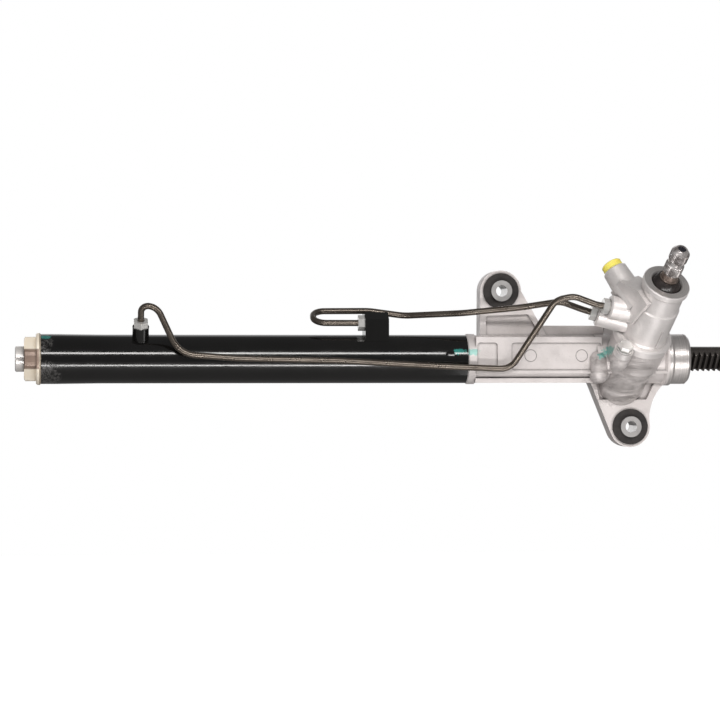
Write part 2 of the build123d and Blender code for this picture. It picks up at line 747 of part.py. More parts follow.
def upper_ear():
    nose_r = BUSH_D / 2 + EAR_WALL
    right_x = UPPER_EAR_X + nose_r
    left_x = UPPER_EAR_X - nose_r
    slope = (UPPER_EAR_FOOT_X - right_x) / UPPER_EAR_Z
    outline = make_face(Polyline(
        (UPPER_EAR_LEFT_X, 0), (left_x, UPPER_EAR_Z), (right_x, UPPER_EAR_Z), (UPPER_EAR_FOOT_X, 0),
        close=True))
    outline += Pos(UPPER_EAR_X, UPPER_EAR_Z) * Circle(nose_r)
    body = stand_up(outline, EAR_FRONT_Y, EAR_T)
    wall = EAR_RIB * 1.3
    low_x = UPPER_EAR_FOOT_X - slope * UPPER_POCKET_LOW_Z - wall
    top_x = UPPER_EAR_FOOT_X - slope * UPPER_POCKET_TOP_Z - wall
    inner_x = UPPER_EAR_LEFT_X + wall
    pocket = make_face(Polyline(
        (inner_x, UPPER_POCKET_LOW_Z), (low_x, UPPER_POCKET_LOW_Z), (top_x, UPPER_POCKET_TOP_Z),
        (inner_x, UPPER_POCKET_TOP_Z - 2), close=True))
    pocket = fillet(pocket.vertices(), EAR_POCKET_CORNER_R)
    return body - stand_up(pocket, EAR_FRONT_Y - 1, EAR_POCKET_DEPTH + 1)


def lower_ear():
    radius = BUSH_D / 2 + EAR_WALL
    foot = Vector(LOWER_EAR_LEFT_X - LOWER_EAR_X, LOWER_EAR_LEFT_Z - LOWER_EAR_Z)
    angle = degrees(atan2(foot.Y, foot.X) + acos(radius / foot.length))
    start = (LOWER_EAR_X + radius * cos(radians(angle)), LOWER_EAR_Z + radius * sin(radians(angle)))
    nose_end = radians(LOWER_EAR_NOSE_ANGLE)
    end = (LOWER_EAR_X + radius * cos(nose_end), LOWER_EAR_Z + radius * sin(nose_end))
    left = (LOWER_EAR_LEFT_X, LOWER_EAR_LEFT_Z)
    right = (LOWER_EAR_RIGHT_X, LOWER_EAR_RIGHT_Z)
    nose = ThreePointArc(start, (LOWER_EAR_X, LOWER_EAR_Z - radius), end)
    hollow = ThreePointArc(end, (LOWER_EAR_HOLLOW_X, LOWER_EAR_HOLLOW_Z), right)
    head = Polyline(right, (LOWER_EAR_RIGHT_X, LOWER_EAR_HEAD_Z), (LOWER_EAR_LEFT_X, LOWER_EAR_HEAD_Z), left)
    outline = make_face([Line(left, start), nose, hollow, head])
    body = stand_up(outline, EAR_FRONT_Y, EAR_T)
    pocket = make_face(Polyline(
        (LOWER_EAR_LEFT_X + EAR_RIB * 2.2, LOWER_POCKET_LOW_Z),
        (LOWER_EAR_HOLLOW_X - EAR_RIB * 1.2, LOWER_POCKET_LOW_Z),
        (LOWER_EAR_RIGHT_X - EAR_RIB * 1.6, LOWER_POCKET_TOP_Z),
        (LOWER_EAR_LEFT_X + EAR_RIB, LOWER_POCKET_TOP_Z), close=True))
    return body - stand_up(pocket, EAR_FRONT_Y - 1, EAR_POCKET_DEPTH + 1)


def bar_section():
    """Stretch of the housing about the bar, with a panelled flat front."""
    x0 = TUBE_SHOWN_TO_X + HOUSING_COLLAR_L - 0.5
    x1 = SECTION_RIGHT_X
    length = x1 - x0
    round_part = Plane.YZ * Circle(BARREL_SECTION_D / 2)
    body = Pos(x0, 0, 0) * extrude(round_part, length)
    body += block(x0, x1, PANEL_FRONT_Y, 0, PANEL_LOW_Z, PANEL_TOP_Z)
    body += block(x0, x1, LIP_FRONT_Y, 0, LIP_BOTTOM_Z, LIP_TOP_Z)
    far = BARREL_SECTION_D
    body -= block(x0 - 1, x1 + 1, PANEL_FRONT_Y - far, PANEL_FRONT_Y, -far, far)
    panel_top = PANEL_TOP_Z - PANEL_RAIL
    panel_low = PANEL_LOW_Z + PANEL_LOW_RAIL
    recess_y = PANEL_FRONT_Y + PANEL_DEPTH
    ring_x0 = RING_RIB_X - RING_RIB_W / 2
    ring_x1 = RING_RIB_X + RING_RIB_W / 2
    small_x0 = TUBE_SHOWN_TO_X + RECESS_INSET
    small = block(small_x0, ring_x0 - RECESS_GAP, PANEL_FRONT_Y - 1, recess_y, panel_low, panel_top)
    small = fillet(small.edges().filter_by(Axis.Y), PANEL_CORNER_R)
    large = block(ring_x1, x1, PANEL_FRONT_Y - 1, recess_y, panel_low, panel_top)
    large = fillet(large.edges().filter_by(Axis.Y), PANEL_CORNER_R)
    body = body - small - large
    for x in EJECTOR_XS:
        mark = Pos(x, EJECTOR_Z) * (Circle(EJECTOR_D / 2) - Circle(EJECTOR_D / 2 - EJECTOR_LINE))
        body -= stand_up(mark, recess_y - 1, 1 + EJECTOR_LINE)
    return body


def gear_barrel():
    """Barrel about the pinion, up to the joint with the valve housing."""
    end_r = BARREL_END_R
    round_off = BARREL_END_ROUND
    barrel = turned_up([
        (0, BARREL_S0), (end_r - round_off, BARREL_S0), (end_r - round_off * 0.3, BARREL_S0 + round_off * 0.3),
        (end_r, BARREL_S0 + round_off), (BARREL_KNEE_R, BARREL_KNEE_S), (BARREL_WAIST_R, BARREL_WAIST_S),
        (BARREL_NECK_R, BARREL_STEP_S), (BARREL_HEAD_R, JOINT_S), (0, JOINT_S),
    ])
    lug_s = JOINT_S - BOLT_LUG_L
    lug = turned_up([
        (0, lug_s), (BOLT_LUG_END_R, lug_s), (BOLT_LUG_R, lug_s + BOLT_LUG_CONE_L), (BOLT_LUG_R, JOINT_S),
        (0, JOINT_S),
    ])
    for place in joint_bolt_places():
        barrel += place * lug
    return on_pinion(barrel)


def joint_bolt_places():
    """Places of the two joint bolts about the pinion's axis, as turns and shifts."""
    places = []
    for turn in (JOINT_BOLT_ANGLE, JOINT_BOLT_ANGLE + 180):
        places.append(Rot(0, 0, turn) * Pos(JOINT_BOLT_R, 0, 0))
    return places


def right_end():
    """Shoulder and boot collar at the toothed end."""
    r = BOOT_COLLAR_D / 2
    c = BOOT_COLLAR_CHAMFER
    shoulder_r = SHOULDER_D / 2
    end = turned([
        (SHOULDER_LEFT_X - 4, 0), (SHOULDER_LEFT_X - 4, shoulder_r - 3), (SHOULDER_LEFT_X, shoulder_r),
        (BOOT_COLLAR_LEFT_X - 2, shoulder_r), (BOOT_COLLAR_LEFT_X, r), (BOOT_COLLAR_RIGHT_X - c, r),
        (BOOT_COLLAR_RIGHT_X, r - c), (BOOT_COLLAR_RIGHT_X, 0),
    ])
    groove = sleeve_x(BOOT_GROOVE_X, BOOT_GROOVE_X + BOOT_GROOVE_W, r + 1, r - BOOT_GROOVE_DEPTH)
    return end - groove


def housing_bores():
    """Everything bored out of the gear housing."""
    bores = sleeve_x(TUBE_SHOWN_TO_X - TUBE_SPIGOT_L - 1, BOOT_COLLAR_RIGHT_X + 1, BAR_BORE_D / 2, 0)
    bore_x = BOOT_COLLAR_RIGHT_X - BOOT_COLLAR_BORE_L
    bores += sleeve_x(bore_x, BOOT_COLLAR_RIGHT_X + 1, BOOT_COLLAR_BORE_D / 2, 0)
    lower_end = LOWER_JOURNAL_S0 - 1
    pinion = rod_z(lower_end, 0, LOWER_BEARING_R + SEAT_FIT)
    pinion += rod_z(PINION_FACE_S0 - 1, BEARING_S0 + 1, PINION_BORE_R)
    pinion += rod_z(BEARING_S0, JOINT_S + 1, BEARING_R + SEAT_FIT)
    for place in joint_bolt_places():
        pinion += place * rod_z(JOINT_S - JOINT_BOLT_GRIP - 2, JOINT_S + 1, JOINT_BOLT_D / 2 + SEAT_FIT)
    bores += on_pinion(pinion)
    bores += on_guide(rod_z(0, GUIDE_BOSS_END + 1, GUIDE_BORE_R))
    for x, z in ((UPPER_EAR_X, UPPER_EAR_Z), (LOWER_EAR_X, LOWER_EAR_Z)):
        bores += Pos(x, EAR_FRONT_Y, z) * Rot(90, 0, 0) * Cylinder(BUSH_D / 2 + SEAT_FIT, 4 * EAR_T)
    return bores


def tube_spigot():
    """Nose of the housing that goes into the tube, with a groove that the tube is staked into."""
    outer = TUBE_BORE_R - SEAT_FIT
    x0 = TUBE_SHOWN_TO_X - TUBE_SPIGOT_L
    root_x = TUBE_SHOWN_TO_X + 1
    nose = turned([(x0, 0), (x0, outer - 1), (x0 + 1, outer), (root_x, outer), (root_x, 0)])
    return nose - sleeve_x(STAKE_X - STAKE_D / 2, STAKE_X + STAKE_D / 2, outer + 1, outer - STAKE_GROOVE_DEPTH)


def gear_housing():
    collar_r = HOUSING_COLLAR_D / 2
    collar_end = TUBE_SHOWN_TO_X + HOUSING_COLLAR_L
    face_x = TUBE_SHOWN_TO_X + SEAT_FIT
    collar = turned([
        (face_x, 0), (face_x, collar_r - 1), (face_x + 1, collar_r), (collar_end, collar_r), (collar_end, 0),
    ])
    body = collar + tube_spigot() + bar_section()
    body += sleeve_x(SECTION_RIGHT_X - 4, GEAR_BLOCK_RIGHT_X, GEAR_BLOCK_D / 2, 0)
    body += right_end()
    body += gear_barrel()
    body += on_guide(rod_z(0, GUIDE_BOSS_END, GUIDE_BOSS_R))
    body += upper_ear()
    body += lower_ear()
    body += capsule((CHEEK_X, CHEEK_Y, CHEEK_LOW_Z), (CHEEK_X, CHEEK_Y, CHEEK_TOP_Z), CHEEK_R)
    body += block(WEB_LEFT_X, SECTION_RIGHT_X + 6, WEB_BACK_Y - WEB_T, WEB_BACK_Y, 0, WEB_TOP_Z)
    rib_low = SIDE_RIB_Z - SIDE_RIB_T / 2
    body += block(SECTION_RIGHT_X, SHOULDER_LEFT_X, SIDE_RIB_FRONT_Y, 0, rib_low, rib_low + SIDE_RIB_T)
    return body - housing_bores()


# Valve housing

def boss_on(frame, reach, mouth_d, base_d, chamfer):
    """Port boss that ends at the frame and reaches back into the body."""
    r0 = base_d / 2
    r1 = mouth_d / 2
    return frame.location * turned_up([(0, -reach), (r0, -reach), (r1, -chamfer), (r1 - chamfer, 0), (0, 0)])


def valve_outline():
    """Body of the valve housing, turned about the pinion's axis."""
    flange_r = TOP_FLANGE_D / 2
    flange_s = TOP_FLANGE_S - TOP_FLANGE_T
    top = VALVE_FLANGE_TOP_S
    return turned_up([
        (0, JOINT_S - SPIGOT_L), (BEARING_R - SEAT_FIT, JOINT_S - SPIGOT_L), (BEARING_R - SEAT_FIT, JOINT_S),
        (JOINT_FLANGE_R, JOINT_S), (JOINT_FLANGE_R, top - 1.5), (JOINT_FLANGE_R - 1.5, top),
        (VALVE_BODY_R + 1, top), (VALVE_BODY_R, top + 2), (VALVE_BODY_R, VALVE_STEP_S),
        (VALVE_NECK_R, VALVE_STEP_S + 1.5),
        (VALVE_NECK_R, flange_s - 1.5), (flange_r - 1, flange_s), (flange_r, flange_s + 1),
        (flange_r, TOP_FLANGE_S - 1), (flange_r - 1, TOP_FLANGE_S), (0, TOP_FLANGE_S),
    ])


def valve_bores():
    """Stepped bore of the valve housing."""
    return turned_up([
        (0, JOINT_S - SPIGOT_L - 1), (VALVE_BORE_R, JOINT_S - SPIGOT_L - 1), (VALVE_BORE_R, THROAT_S),
        (THROAT_R, THROAT_S), (THROAT_R, SEAL_BORE_S), (SEAL_BORE_R, SEAL_BORE_S),
        (SEAL_BORE_R, TOP_FLANGE_S - 1), (SEAL_BORE_R + 1, TOP_FLANGE_S), (SEAL_BORE_R + 1, TOP_FLANGE_S + 1),
        (0, TOP_FLANGE_S + 1),
    ])


def pressure_bore():
    """Thread bore of the pressure port and the slanted hole from its floor to the valve's middle groove."""
    frame = port_frame("pressure")
    floor = frame.origin - frame.z_dir * (PRESSURE_THREAD_L - OIL_HOLE_D / 2)
    inner = up_pinion(VALVE_MID_S) + LEFTWARD * (VALVE_BORE_R - OIL_HOLE_D)
    hole = inner - floor
    thread = frame.location * rod_z(-PRESSURE_THREAD_L, 1, PRESSURE_THREAD_D / 2)
    return thread + Plane(origin=floor, z_dir=hole) * rod_z(0, hole.length, OIL_HOLE_D / 2)


def pressure_web():
    """Flat-sided web that joins the pressure boss to the valve's body."""
    frame = port_frame("pressure")
    side = frame.z_dir.cross(PINION_AXIS).normalized()
    base = frame.origin - frame.z_dir * PRESSURE_REACH
    plane = Plane(origin=base - side * PRESSURE_WEB_SIDE, x_dir=frame.z_dir.cross(side), z_dir=side)
    half = PRESSURE_BOSS_D / 2 - LINE_BOSS_CHAMFER
    up = PRESSURE_WEB_UP
    reach = PRESSURE_WEB_L
    corners = [(-up, reach * 0.2), (-half, reach), (half * 0.8, reach), (half * 0.8, -half), (-up, -half)]
    outline = [plane.from_local_coords(Vector(x, y, 0)) for x, y in corners]
    return extrude(make_face(Polyline(*outline, close=True)), 2 * PRESSURE_WEB_SIDE, dir=side)


def side_fin():
    """Low fin up the side of the valve's body."""
    top = VALVE_FLANGE_TOP_S
    fin = block(0, VALVE_BODY_R + SIDE_FIN_H, -SIDE_FIN_W / 2, SIDE_FIN_W / 2, top - 1, top + SIDE_FIN_L)
    return on_pinion(Rot(0, 0, SIDE_FIN_ANGLE) * fin)


def valve_housing():
    body = valve_outline()
    for place in joint_bolt_places():
        body += place * rod_z(JOINT_S, BOLT_SEAT_S, BOLT_LUG_R)
    for place in joint_bolt_places():
        body -= place * rod_z(BOLT_SEAT_S, VALVE_FLANGE_TOP_S + 1, BOLT_SPOT_D / 2)
    body = on_pinion(body)
    c = LINE_BOSS_CHAMFER
    body += boss_on(port_frame("upper"), UPPER_LINE_REACH, LINE_BOSS_D, LINE_BOSS_D, c)
    body += boss_on(port_frame("lower"), LOWER_LINE_REACH, LINE_BOSS_D, LINE_BOSS_D, c)
    body += boss_on(port_frame("pressure"), PRESSURE_REACH, PRESSURE_BOSS_D, PRESSURE_BASE_D, c)
    body += boss_on(port_frame("return"), RETURN_REACH, RETURN_BOSS_D, RETURN_BOSS_D, c)
    body += pressure_web() + side_fin()
    ring_half = JOINT_ORING_D / 2 + SEAT_FIT
    ring_s = JOINT_S - SPIGOT_L / 2
    groove_r = BEARING_R - JOINT_ORING_D
    body -= on_pinion(sleeve_z(ring_s - ring_half, ring_s + ring_half, BEARING_R + 1, groove_r))
    body -= on_pinion(valve_bores())
    body -= line_port_bore("upper", UPPER_LINE_REACH - VALVE_BORE_R + 2)
    body -= line_port_bore("lower", LOWER_LINE_REACH - VALVE_BORE_R + 2)
    body -= pressure_bore()
    back = rod_z(-RETURN_THREAD_L, 1, RETURN_THREAD_D / 2)
    back += rod_z(-RETURN_REACH + VALVE_BORE_R - 3, 0, OIL_HOLE_D / 2)
    body -= port_frame("return").location * back
    for place in joint_bolt_places():
        body -= on_pinion(place * rod_z(JOINT_S - 1, VALVE_FLANGE_TOP_S + 1, JOINT_BOLT_D / 2 + SEAT_FIT))
    return body


def joint_bolts():
    bolts = []
    top = BOLT_SEAT_S
    for place in joint_bolt_places():
        bolt = rod_z(JOINT_S - JOINT_BOLT_GRIP, top, JOINT_BOLT_D / 2)
        bolt += rod_z(top, top + JOINT_BOLT_WASHER_T, JOINT_BOLT_WASHER_D / 2)
        head_s = top + JOINT_BOLT_WASHER_T
        head = extrude(RegularPolygon(JOINT_BOLT_AF / 2, 6, major_radius=False), JOINT_BOLT_HEAD_L)
        bolt += Pos(0, 0, head_s) * head
        bolts.append(on_pinion(place * bolt))
    return bolts


def port_cap():
    """Push-in transport plug: a cup with a rim that stops on the port's face."""
    r = CAP_D / 2
    plug_r = PRESSURE_THREAD_D / 2 - RUN_FIT
    body = turned_up([
        (0, -CAP_PLUG_L), (plug_r - 1, -CAP_PLUG_L), (plug_r, -CAP_PLUG_L + 1.5), (plug_r, 0), (r, 0),
        (r, CAP_SHOWN_L - 1), (r - 1, CAP_SHOWN_L), (0, CAP_SHOWN_L),
    ])
    inner_r = plug_r - CAP_WALL
    return port_frame("pressure").location * (body - rod_z(-CAP_PLUG_L + CAP_WALL, CAP_SHOWN_L + 1, inner_r))


# Pinion shaft, its bearings and the rotary valve

def involute(angle):
    """Involute function of a pressure angle in radians."""
    return tan(angle) - angle


def pinion_outline():
    """Transverse section of the pinion, a tooth pointing at the bar."""
    slant = radians(PINION_SLANT_ANGLE)
    transverse = atan(tan(radians(PRESSURE_ANGLE)) / cos(slant))
    base_r = PINION_PITCH_R * cos(transverse)
    thickness = MODULE * (pi / 2 + 2 * PROFILE_SHIFT * tan(radians(PRESSURE_ANGLE))) / cos(slant)
    half_pitch = thickness / (2 * PINION_PITCH_R)
    half_base = half_pitch + involute(transverse)
    steps = 4
    edges = []
    previous = None
    first = None
    for tooth in range(PINION_TEETH):
        mid = -pi / 2 + tooth * 2 * pi / PINION_TEETH
        rising = [polar(PINION_ROOT_R, mid - half_base)]
        flank = []
        for step in range(steps + 1):
            r = base_r + (PINION_TIP_R - base_r) * step / steps
            half = half_base - involute(acos(base_r / r))
            flank.append((r, half))
        up = [polar(r, mid - half) for r, half in flank]
        down = [polar(r, mid + half) for r, half in reversed(flank)]
        falling = polar(PINION_ROOT_R, mid + half_base)
        if previous is None:
            first = rising[0]
        else:
            root_mid = polar(PINION_ROOT_R, mid - pi / PINION_TEETH)
            edges.append(ThreePointArc(previous, root_mid, rising[0]))
        edges.append(Line(rising[0], up[0]))
        edges.append(Spline(*up))
        edges.append(ThreePointArc(up[-1], polar(PINION_TIP_R, mid), down[0]))
        edges.append(Spline(*down))
        edges.append(Line(down[-1], falling))
        previous = falling
    root_mid = polar(PINION_ROOT_R, -pi / 2 - pi / PINION_TEETH)
    edges.append(ThreePointArc(previous, root_mid, first))
    return make_face(edges)


def polar(radius, angle):
    """Point in the plane by radius and angle in radians."""
    return (radius * cos(angle), radius * sin(angle))


def pinion_teeth():
    """Helical teeth, cut square to the axis at both ends."""
    length = PINION_FACE_S1 - PINION_FACE_S0
    rate = tan(radians(PINION_SLANT_ANGLE)) / PINION_PITCH_R
    outline = Rot(0, 0, degrees(rate * PINION_FACE_S0)) * pinion_outline()
    wire = outline.faces()[0].outer_wire()
    twist = degrees(rate * length)
    teeth = Solid.extrude_linear_with_rotation(wire, center=(0, 0, 0), normal=(0, 0, length), angle=twist)
    return Pos(0, 0, PINION_FACE_S0) * teeth


def stub_section(extra):
    """Round with two flats that drives the pinion when the torsion bar is fully twisted."""
    return Circle(STUB_R + extra) & Rectangle(2 * STUB_R + 4, 2 * (STUB_FLAT + extra))


def pinion_shaft():
    seat_s = BEARING_S0 + BEARING_W
    core_r = PINION_ROOT_R - 0.3
    shaft = turned_up([
        (0, LOWER_JOURNAL_S0), (LOWER_JOURNAL_R - 0.6, LOWER_JOURNAL_S0),
        (LOWER_JOURNAL_R, LOWER_JOURNAL_S0 + 0.6),
        (LOWER_JOURNAL_R, PINION_FACE_S0 - 1), (core_r, PINION_FACE_S0), (core_r, PINION_FACE_S1),
        (PINION_SHAFT_R, PINION_FACE_S1), (PINION_SHAFT_R, seat_s), (PINION_SEAT_R, seat_s),
        (PINION_SEAT_R, PINION_HEAD_S), (PINION_HEAD_R, PINION_HEAD_S), (PINION_HEAD_R, SLEEVE_S0),
        (0, SLEEVE_S0),
    ])
    shaft += pinion_teeth()
    groove_s = BEARING_S0 - SNAP_RING_W
    shaft -= sleeve_z(groove_s, BEARING_S0, PINION_SHAFT_R + 1, PINION_SHAFT_R - SNAP_RING_DEPTH)
    socket_depth = STUB_L + 1
    for turn in (-VALVE_TWIST - STOP_SLACK, VALVE_TWIST + STOP_SLACK):
        socket = extrude(Rot(0, 0, turn) * stub_section(RUN_FIT), socket_depth + 1)
        shaft -= Pos(0, 0, SLEEVE_S0 - socket_depth) * socket
    shaft -= rod_z(TORSION_S0 - 1, SLEEVE_S0, TORSION_END_R + RUN_FIT)
    return on_pinion(shaft)


def bearing_snap_ring():
    s0 = BEARING_S0 - SNAP_RING_W
    inner = PINION_SHAFT_R - SNAP_RING_DEPTH + SEAT_FIT
    ring = sleeve_z(s0 + SEAT_FIT, BEARING_S0 - SEAT_FIT, PINION_SHAFT_R + SNAP_RING_H, inner)
    return on_pinion(ring - block(0, PINION_SHAFT_R + 4, -2, 2, s0 - 1, BEARING_S0 + 1))


def ball_track():
    """Ring-shaped space that the balls run in."""
    mid_r = (BEARING_INNER_R + BEARING_OUTER_R) / 2
    return Pos(0, 0, BEARING_S0 + BEARING_W / 2) * Torus(mid_r, BEARING_BALL_R + RUN_FIT)


def bearing_outer_ring():
    s1 = BEARING_S0 + BEARING_W
    ring = sleeve_z(BEARING_S0 + SEAT_FIT, s1 - SEAT_FIT, BEARING_R, BEARING_OUTER_R)
    return on_pinion(ring - ball_track())


def bearing_inner_ring():
    s1 = BEARING_S0 + BEARING_W
    ring = sleeve_z(BEARING_S0 + SEAT_FIT, s1 - SEAT_FIT, BEARING_INNER_R, PINION_SHAFT_R + SEAT_FIT)
    return on_pinion(ring - ball_track())


def ball_places():
    """Centres of the bearing's balls."""
    mid_r = (BEARING_INNER_R + BEARING_OUTER_R) / 2
    mid_s = BEARING_S0 + BEARING_W / 2
    return [Rot(0, 0, 360 * k / BEARING_BALLS) * Pos(mid_r, 0, mid_s) for k in range(BEARING_BALLS)]


def bearing_balls():
    return [on_pinion(place * Sphere(BEARING_BALL_R)) for place in ball_places()]


def bearing_cage():
    mid_r = (BEARING_INNER_R + BEARING_OUTER_R) / 2
    mid_s = BEARING_S0 + BEARING_W / 2
    half = BEARING_CAGE_T / 2
    cage = sleeve_z(mid_s - BEARING_CAGE_W / 2, mid_s + BEARING_CAGE_W / 2, mid_r + half, mid_r - half)
    for place in ball_places():
        cage -= place * Rot(0, 90, 0) * Cylinder(BEARING_BALL_R + RUN_FIT, 6 * BEARING_CAGE_T)
    return on_pinion(cage)


def lower_bearing():
    s0 = LOWER_JOURNAL_S0 + 0.5
    return on_pinion(sleeve_z(s0, s0 + LOWER_BEARING_L, LOWER_BEARING_R, LOWER_JOURNAL_R + RUN_FIT))


def lower_valve_seal():
    seal = sleeve_z(VALVE_SEAL_S, VALVE_SEAL_S + VALVE_SEAL_L, VALVE_BORE_R - SEAT_FIT, PINION_SEAT_R + RUN_FIT)
    return on_pinion(seal)


def joint_o_ring():
    """Ring in the valve housing's spigot, sealing the joint of the two housings."""
    ring = Torus(BEARING_R - JOINT_ORING_D / 2, JOINT_ORING_D / 2 - SEAT_FIT)
    return on_pinion(Pos(0, 0, JOINT_S - SPIGOT_L / 2) * ring)


def valve_sleeve():
    sleeve = sleeve_z(SLEEVE_S0, SLEEVE_S0 + SLEEVE_L, SLEEVE_R, ROTOR_R + RUN_FIT)
    for ring_s in sleeve_ring_heights():
        half = SLEEVE_RING_W / 2
        sleeve -= sleeve_z(ring_s - half, ring_s + half, SLEEVE_R + 1, SLEEVE_R - SLEEVE_RING_DEPTH)
    heights = sleeve_ring_heights()
    for lower, upper in zip(heights, heights[1:]):
        s = (lower + upper) / 2
        half = PORT_GROOVE_W / 2
        sleeve -= sleeve_z(s - half, s + half, SLEEVE_R + 1, SLEEVE_R - PORT_GROOVE_DEPTH)
        for hole in range(SLEEVE_HOLES):
            turn = 360 * (hole + 0.5) / SLEEVE_HOLES
            drill = Pos(SLEEVE_R / 2, 0, s) * Rot(0, 90, 0) * Cylinder(SLEEVE_HOLE_D / 2, SLEEVE_R + 2)
            sleeve -= Rot(0, 0, turn) * drill
    for slot in range(VALVE_SLOTS):
        groove = Pos(ROTOR_R, 0, VALVE_MID_S) * Box(2 * VALVE_SLOT_DEPTH, VALVE_SLOT_W, VALVE_SLOT_L)
        sleeve -= Rot(0, 0, 360 * (slot + 0.5) / VALVE_SLOTS) * groove
    return on_pinion(sleeve)


def sleeve_ring_heights():
    """Heights of the sealing rings along the pinion's axis."""
    first = VALVE_MID_S - (SLEEVE_RINGS - 1) * SLEEVE_RING_PITCH / 2
    return [first + k * SLEEVE_RING_PITCH for k in range(SLEEVE_RINGS)]


def valve_sleeve_rings():
    rings = []
    half = SLEEVE_RING_W / 2 - SEAT_FIT
    inner = SLEEVE_R - SLEEVE_RING_DEPTH + SEAT_FIT
    for s in sleeve_ring_heights():
        rings.append(on_pinion(sleeve_z(s - half, s + half, VALVE_BORE_R - RUN_FIT, inner)))
    return rings


def input_shaft():
    rotor_s = SLEEVE_S0 + 0.3
    tip = INPUT_TIP_S
    groove_half = PINCH_GROOVE_W / 2
    shaft = turned_up([
        (0, rotor_s), (ROTOR_R, rotor_s), (ROTOR_R, STEM_S), (STEM_R, STEM_S), (STEM_R, SHANK_S - 1),
        (SHANK_R, SHANK_S), (SHANK_R, SPLINE_S - 1), (SPLINE_R, SPLINE_S),
        (SPLINE_R, PINCH_GROOVE_S - groove_half - 1), (PINCH_GROOVE_R, PINCH_GROOVE_S - groove_half),
        (PINCH_GROOVE_R, PINCH_GROOVE_S + groove_half), (SPLINE_R, PINCH_GROOVE_S + groove_half + 1),
        (SPLINE_R, tip - INPUT_NOSE_L), (INPUT_NOSE_R, tip), (0, tip),
    ])
    shaft += Pos(0, 0, SLEEVE_S0 - STUB_L) * extrude(stub_section(0), STUB_L + 1)
    for slot in range(VALVE_SLOTS):
        groove = Pos(ROTOR_R, 0, VALVE_MID_S) * Box(2 * VALVE_SLOT_DEPTH, VALVE_SLOT_W, VALVE_SLOT_L)
        shaft -= Rot(0, 0, 360 * slot / VALVE_SLOTS) * groove
    shaft -= rod_z(SLEEVE_S0 - STUB_L - 1, tip + 1, TORSION_HEAD_R + SEAT_FIT)
    pin_s = tip - TORSION_PIN_DOWN
    shaft -= Pos(0, 0, pin_s) * Rot(0, 90, 0) * Cylinder(TORSION_PIN_D / 2 + SEAT_FIT, 4 * SPLINE_R)
    return on_pinion(shaft)


def torsion_bar():
    tip = INPUT_TIP_S - 1
    socket_s = SLEEVE_S0 - STUB_L - 2
    head_s = tip - TORSION_HEAD_L
    bar = turned_up([
        (0, TORSION_S0), (TORSION_END_R, TORSION_S0), (TORSION_END_R, socket_s - 2), (TORSION_BAR_R, socket_s),
        (TORSION_BAR_R, head_s - 3), (TORSION_HEAD_R, head_s), (TORSION_HEAD_R, tip), (0, tip),
    ])
    pin_s = INPUT_TIP_S - TORSION_PIN_DOWN
    bar -= Pos(0, 0, pin_s) * Rot(0, 90, 0) * Cylinder(TORSION_PIN_D / 2 + SEAT_FIT, 4 * SPLINE_R)
    return on_pinion(bar)


def torsion_pin():
    pin_s = INPUT_TIP_S - TORSION_PIN_DOWN
    length = 2 * (SPLINE_R - 1)
    return on_pinion(Pos(0, 0, pin_s) * Rot(0, 90, 0) * Cylinder(TORSION_PIN_D / 2, length))


def input_bearing():
    s0 = SEAL_BORE_S + SEAT_FIT
    return on_pinion(sleeve_z(s0, s0 + INPUT_BEARING_L, SEAL_BORE_R - SEAT_FIT, STEM_R + RUN_FIT))


def input_seal():
    s0 = SEAL_BORE_S + INPUT_BEARING_L + INPUT_STACK_GAP
    return on_pinion(sleeve_z(s0, s0 + INPUT_SEAL_L, SEAL_BORE_R - SEAT_FIT, STEM_R + RUN_FIT))


def dust_seal():
    """Flexible cone from the housing's bore up to the shaft."""
    outer = SEAL_BORE_R - SEAT_FIT
    inner = STEM_R + RUN_FIT
    s0 = DUST_SEAL_S
    s1 = s0 + DUST_SEAL_BASE_L
    lip_r = inner + DUST_SEAL_WALL
    mid_r = (outer + lip_r) / 2 + DUST_SEAL_BULGE
    mid_s = (s1 + DUST_SEAL_TOP_S) / 2
    bell = ThreePointArc((outer, s1), (mid_r, mid_s), (lip_r, DUST_SEAL_TOP_S))
    rest = Polyline(
        (lip_r, DUST_SEAL_TOP_S), (inner, DUST_SEAL_TOP_S), (inner, DUST_SEAL_TOP_S - 3), (inner + 2, s0),
        (outer, s0), (outer, s1))
    return on_pinion(revolve(Plane.XZ * make_face([bell, rest]), Axis.Z))


# Rack guide

def guide_liner():
    outer = RACK_R + RUN_FIT + GUIDE_LINER_T
    half = GUIDE_SEAT_W / 2
    ring = sleeve_x(PINION_X - half, PINION_X + half, outer, RACK_R + RUN_FIT)
    wide = GUIDE_BORE_R
    keep = on_guide(block(-wide, wide, -wide, wide, GUIDE_LINER_FROM, GUIDE_BOSS_END))
    within = on_guide(rod_z(0, GUIDE_BOSS_END, GUIDE_BORE_R - 2 * SEAT_FIT))
    return ring & keep & within


def guide_yoke():
    yoke = rod_z(GUIDE_YOKE_FROM, GUIDE_YOKE_TO, GUIDE_BORE_R - SEAT_FIT)
    yoke -= rod_z(GUIDE_YOKE_TO - GUIDE_POCKET_L, GUIDE_YOKE_TO + 1, GUIDE_POCKET_R)
    seat_r = RACK_R + RUN_FIT + GUIDE_LINER_T + SEAT_FIT
    return on_guide(yoke) - sleeve_x(PINION_X - 2 * RACK_R, PINION_X + 2 * RACK_R, seat_r, 0)


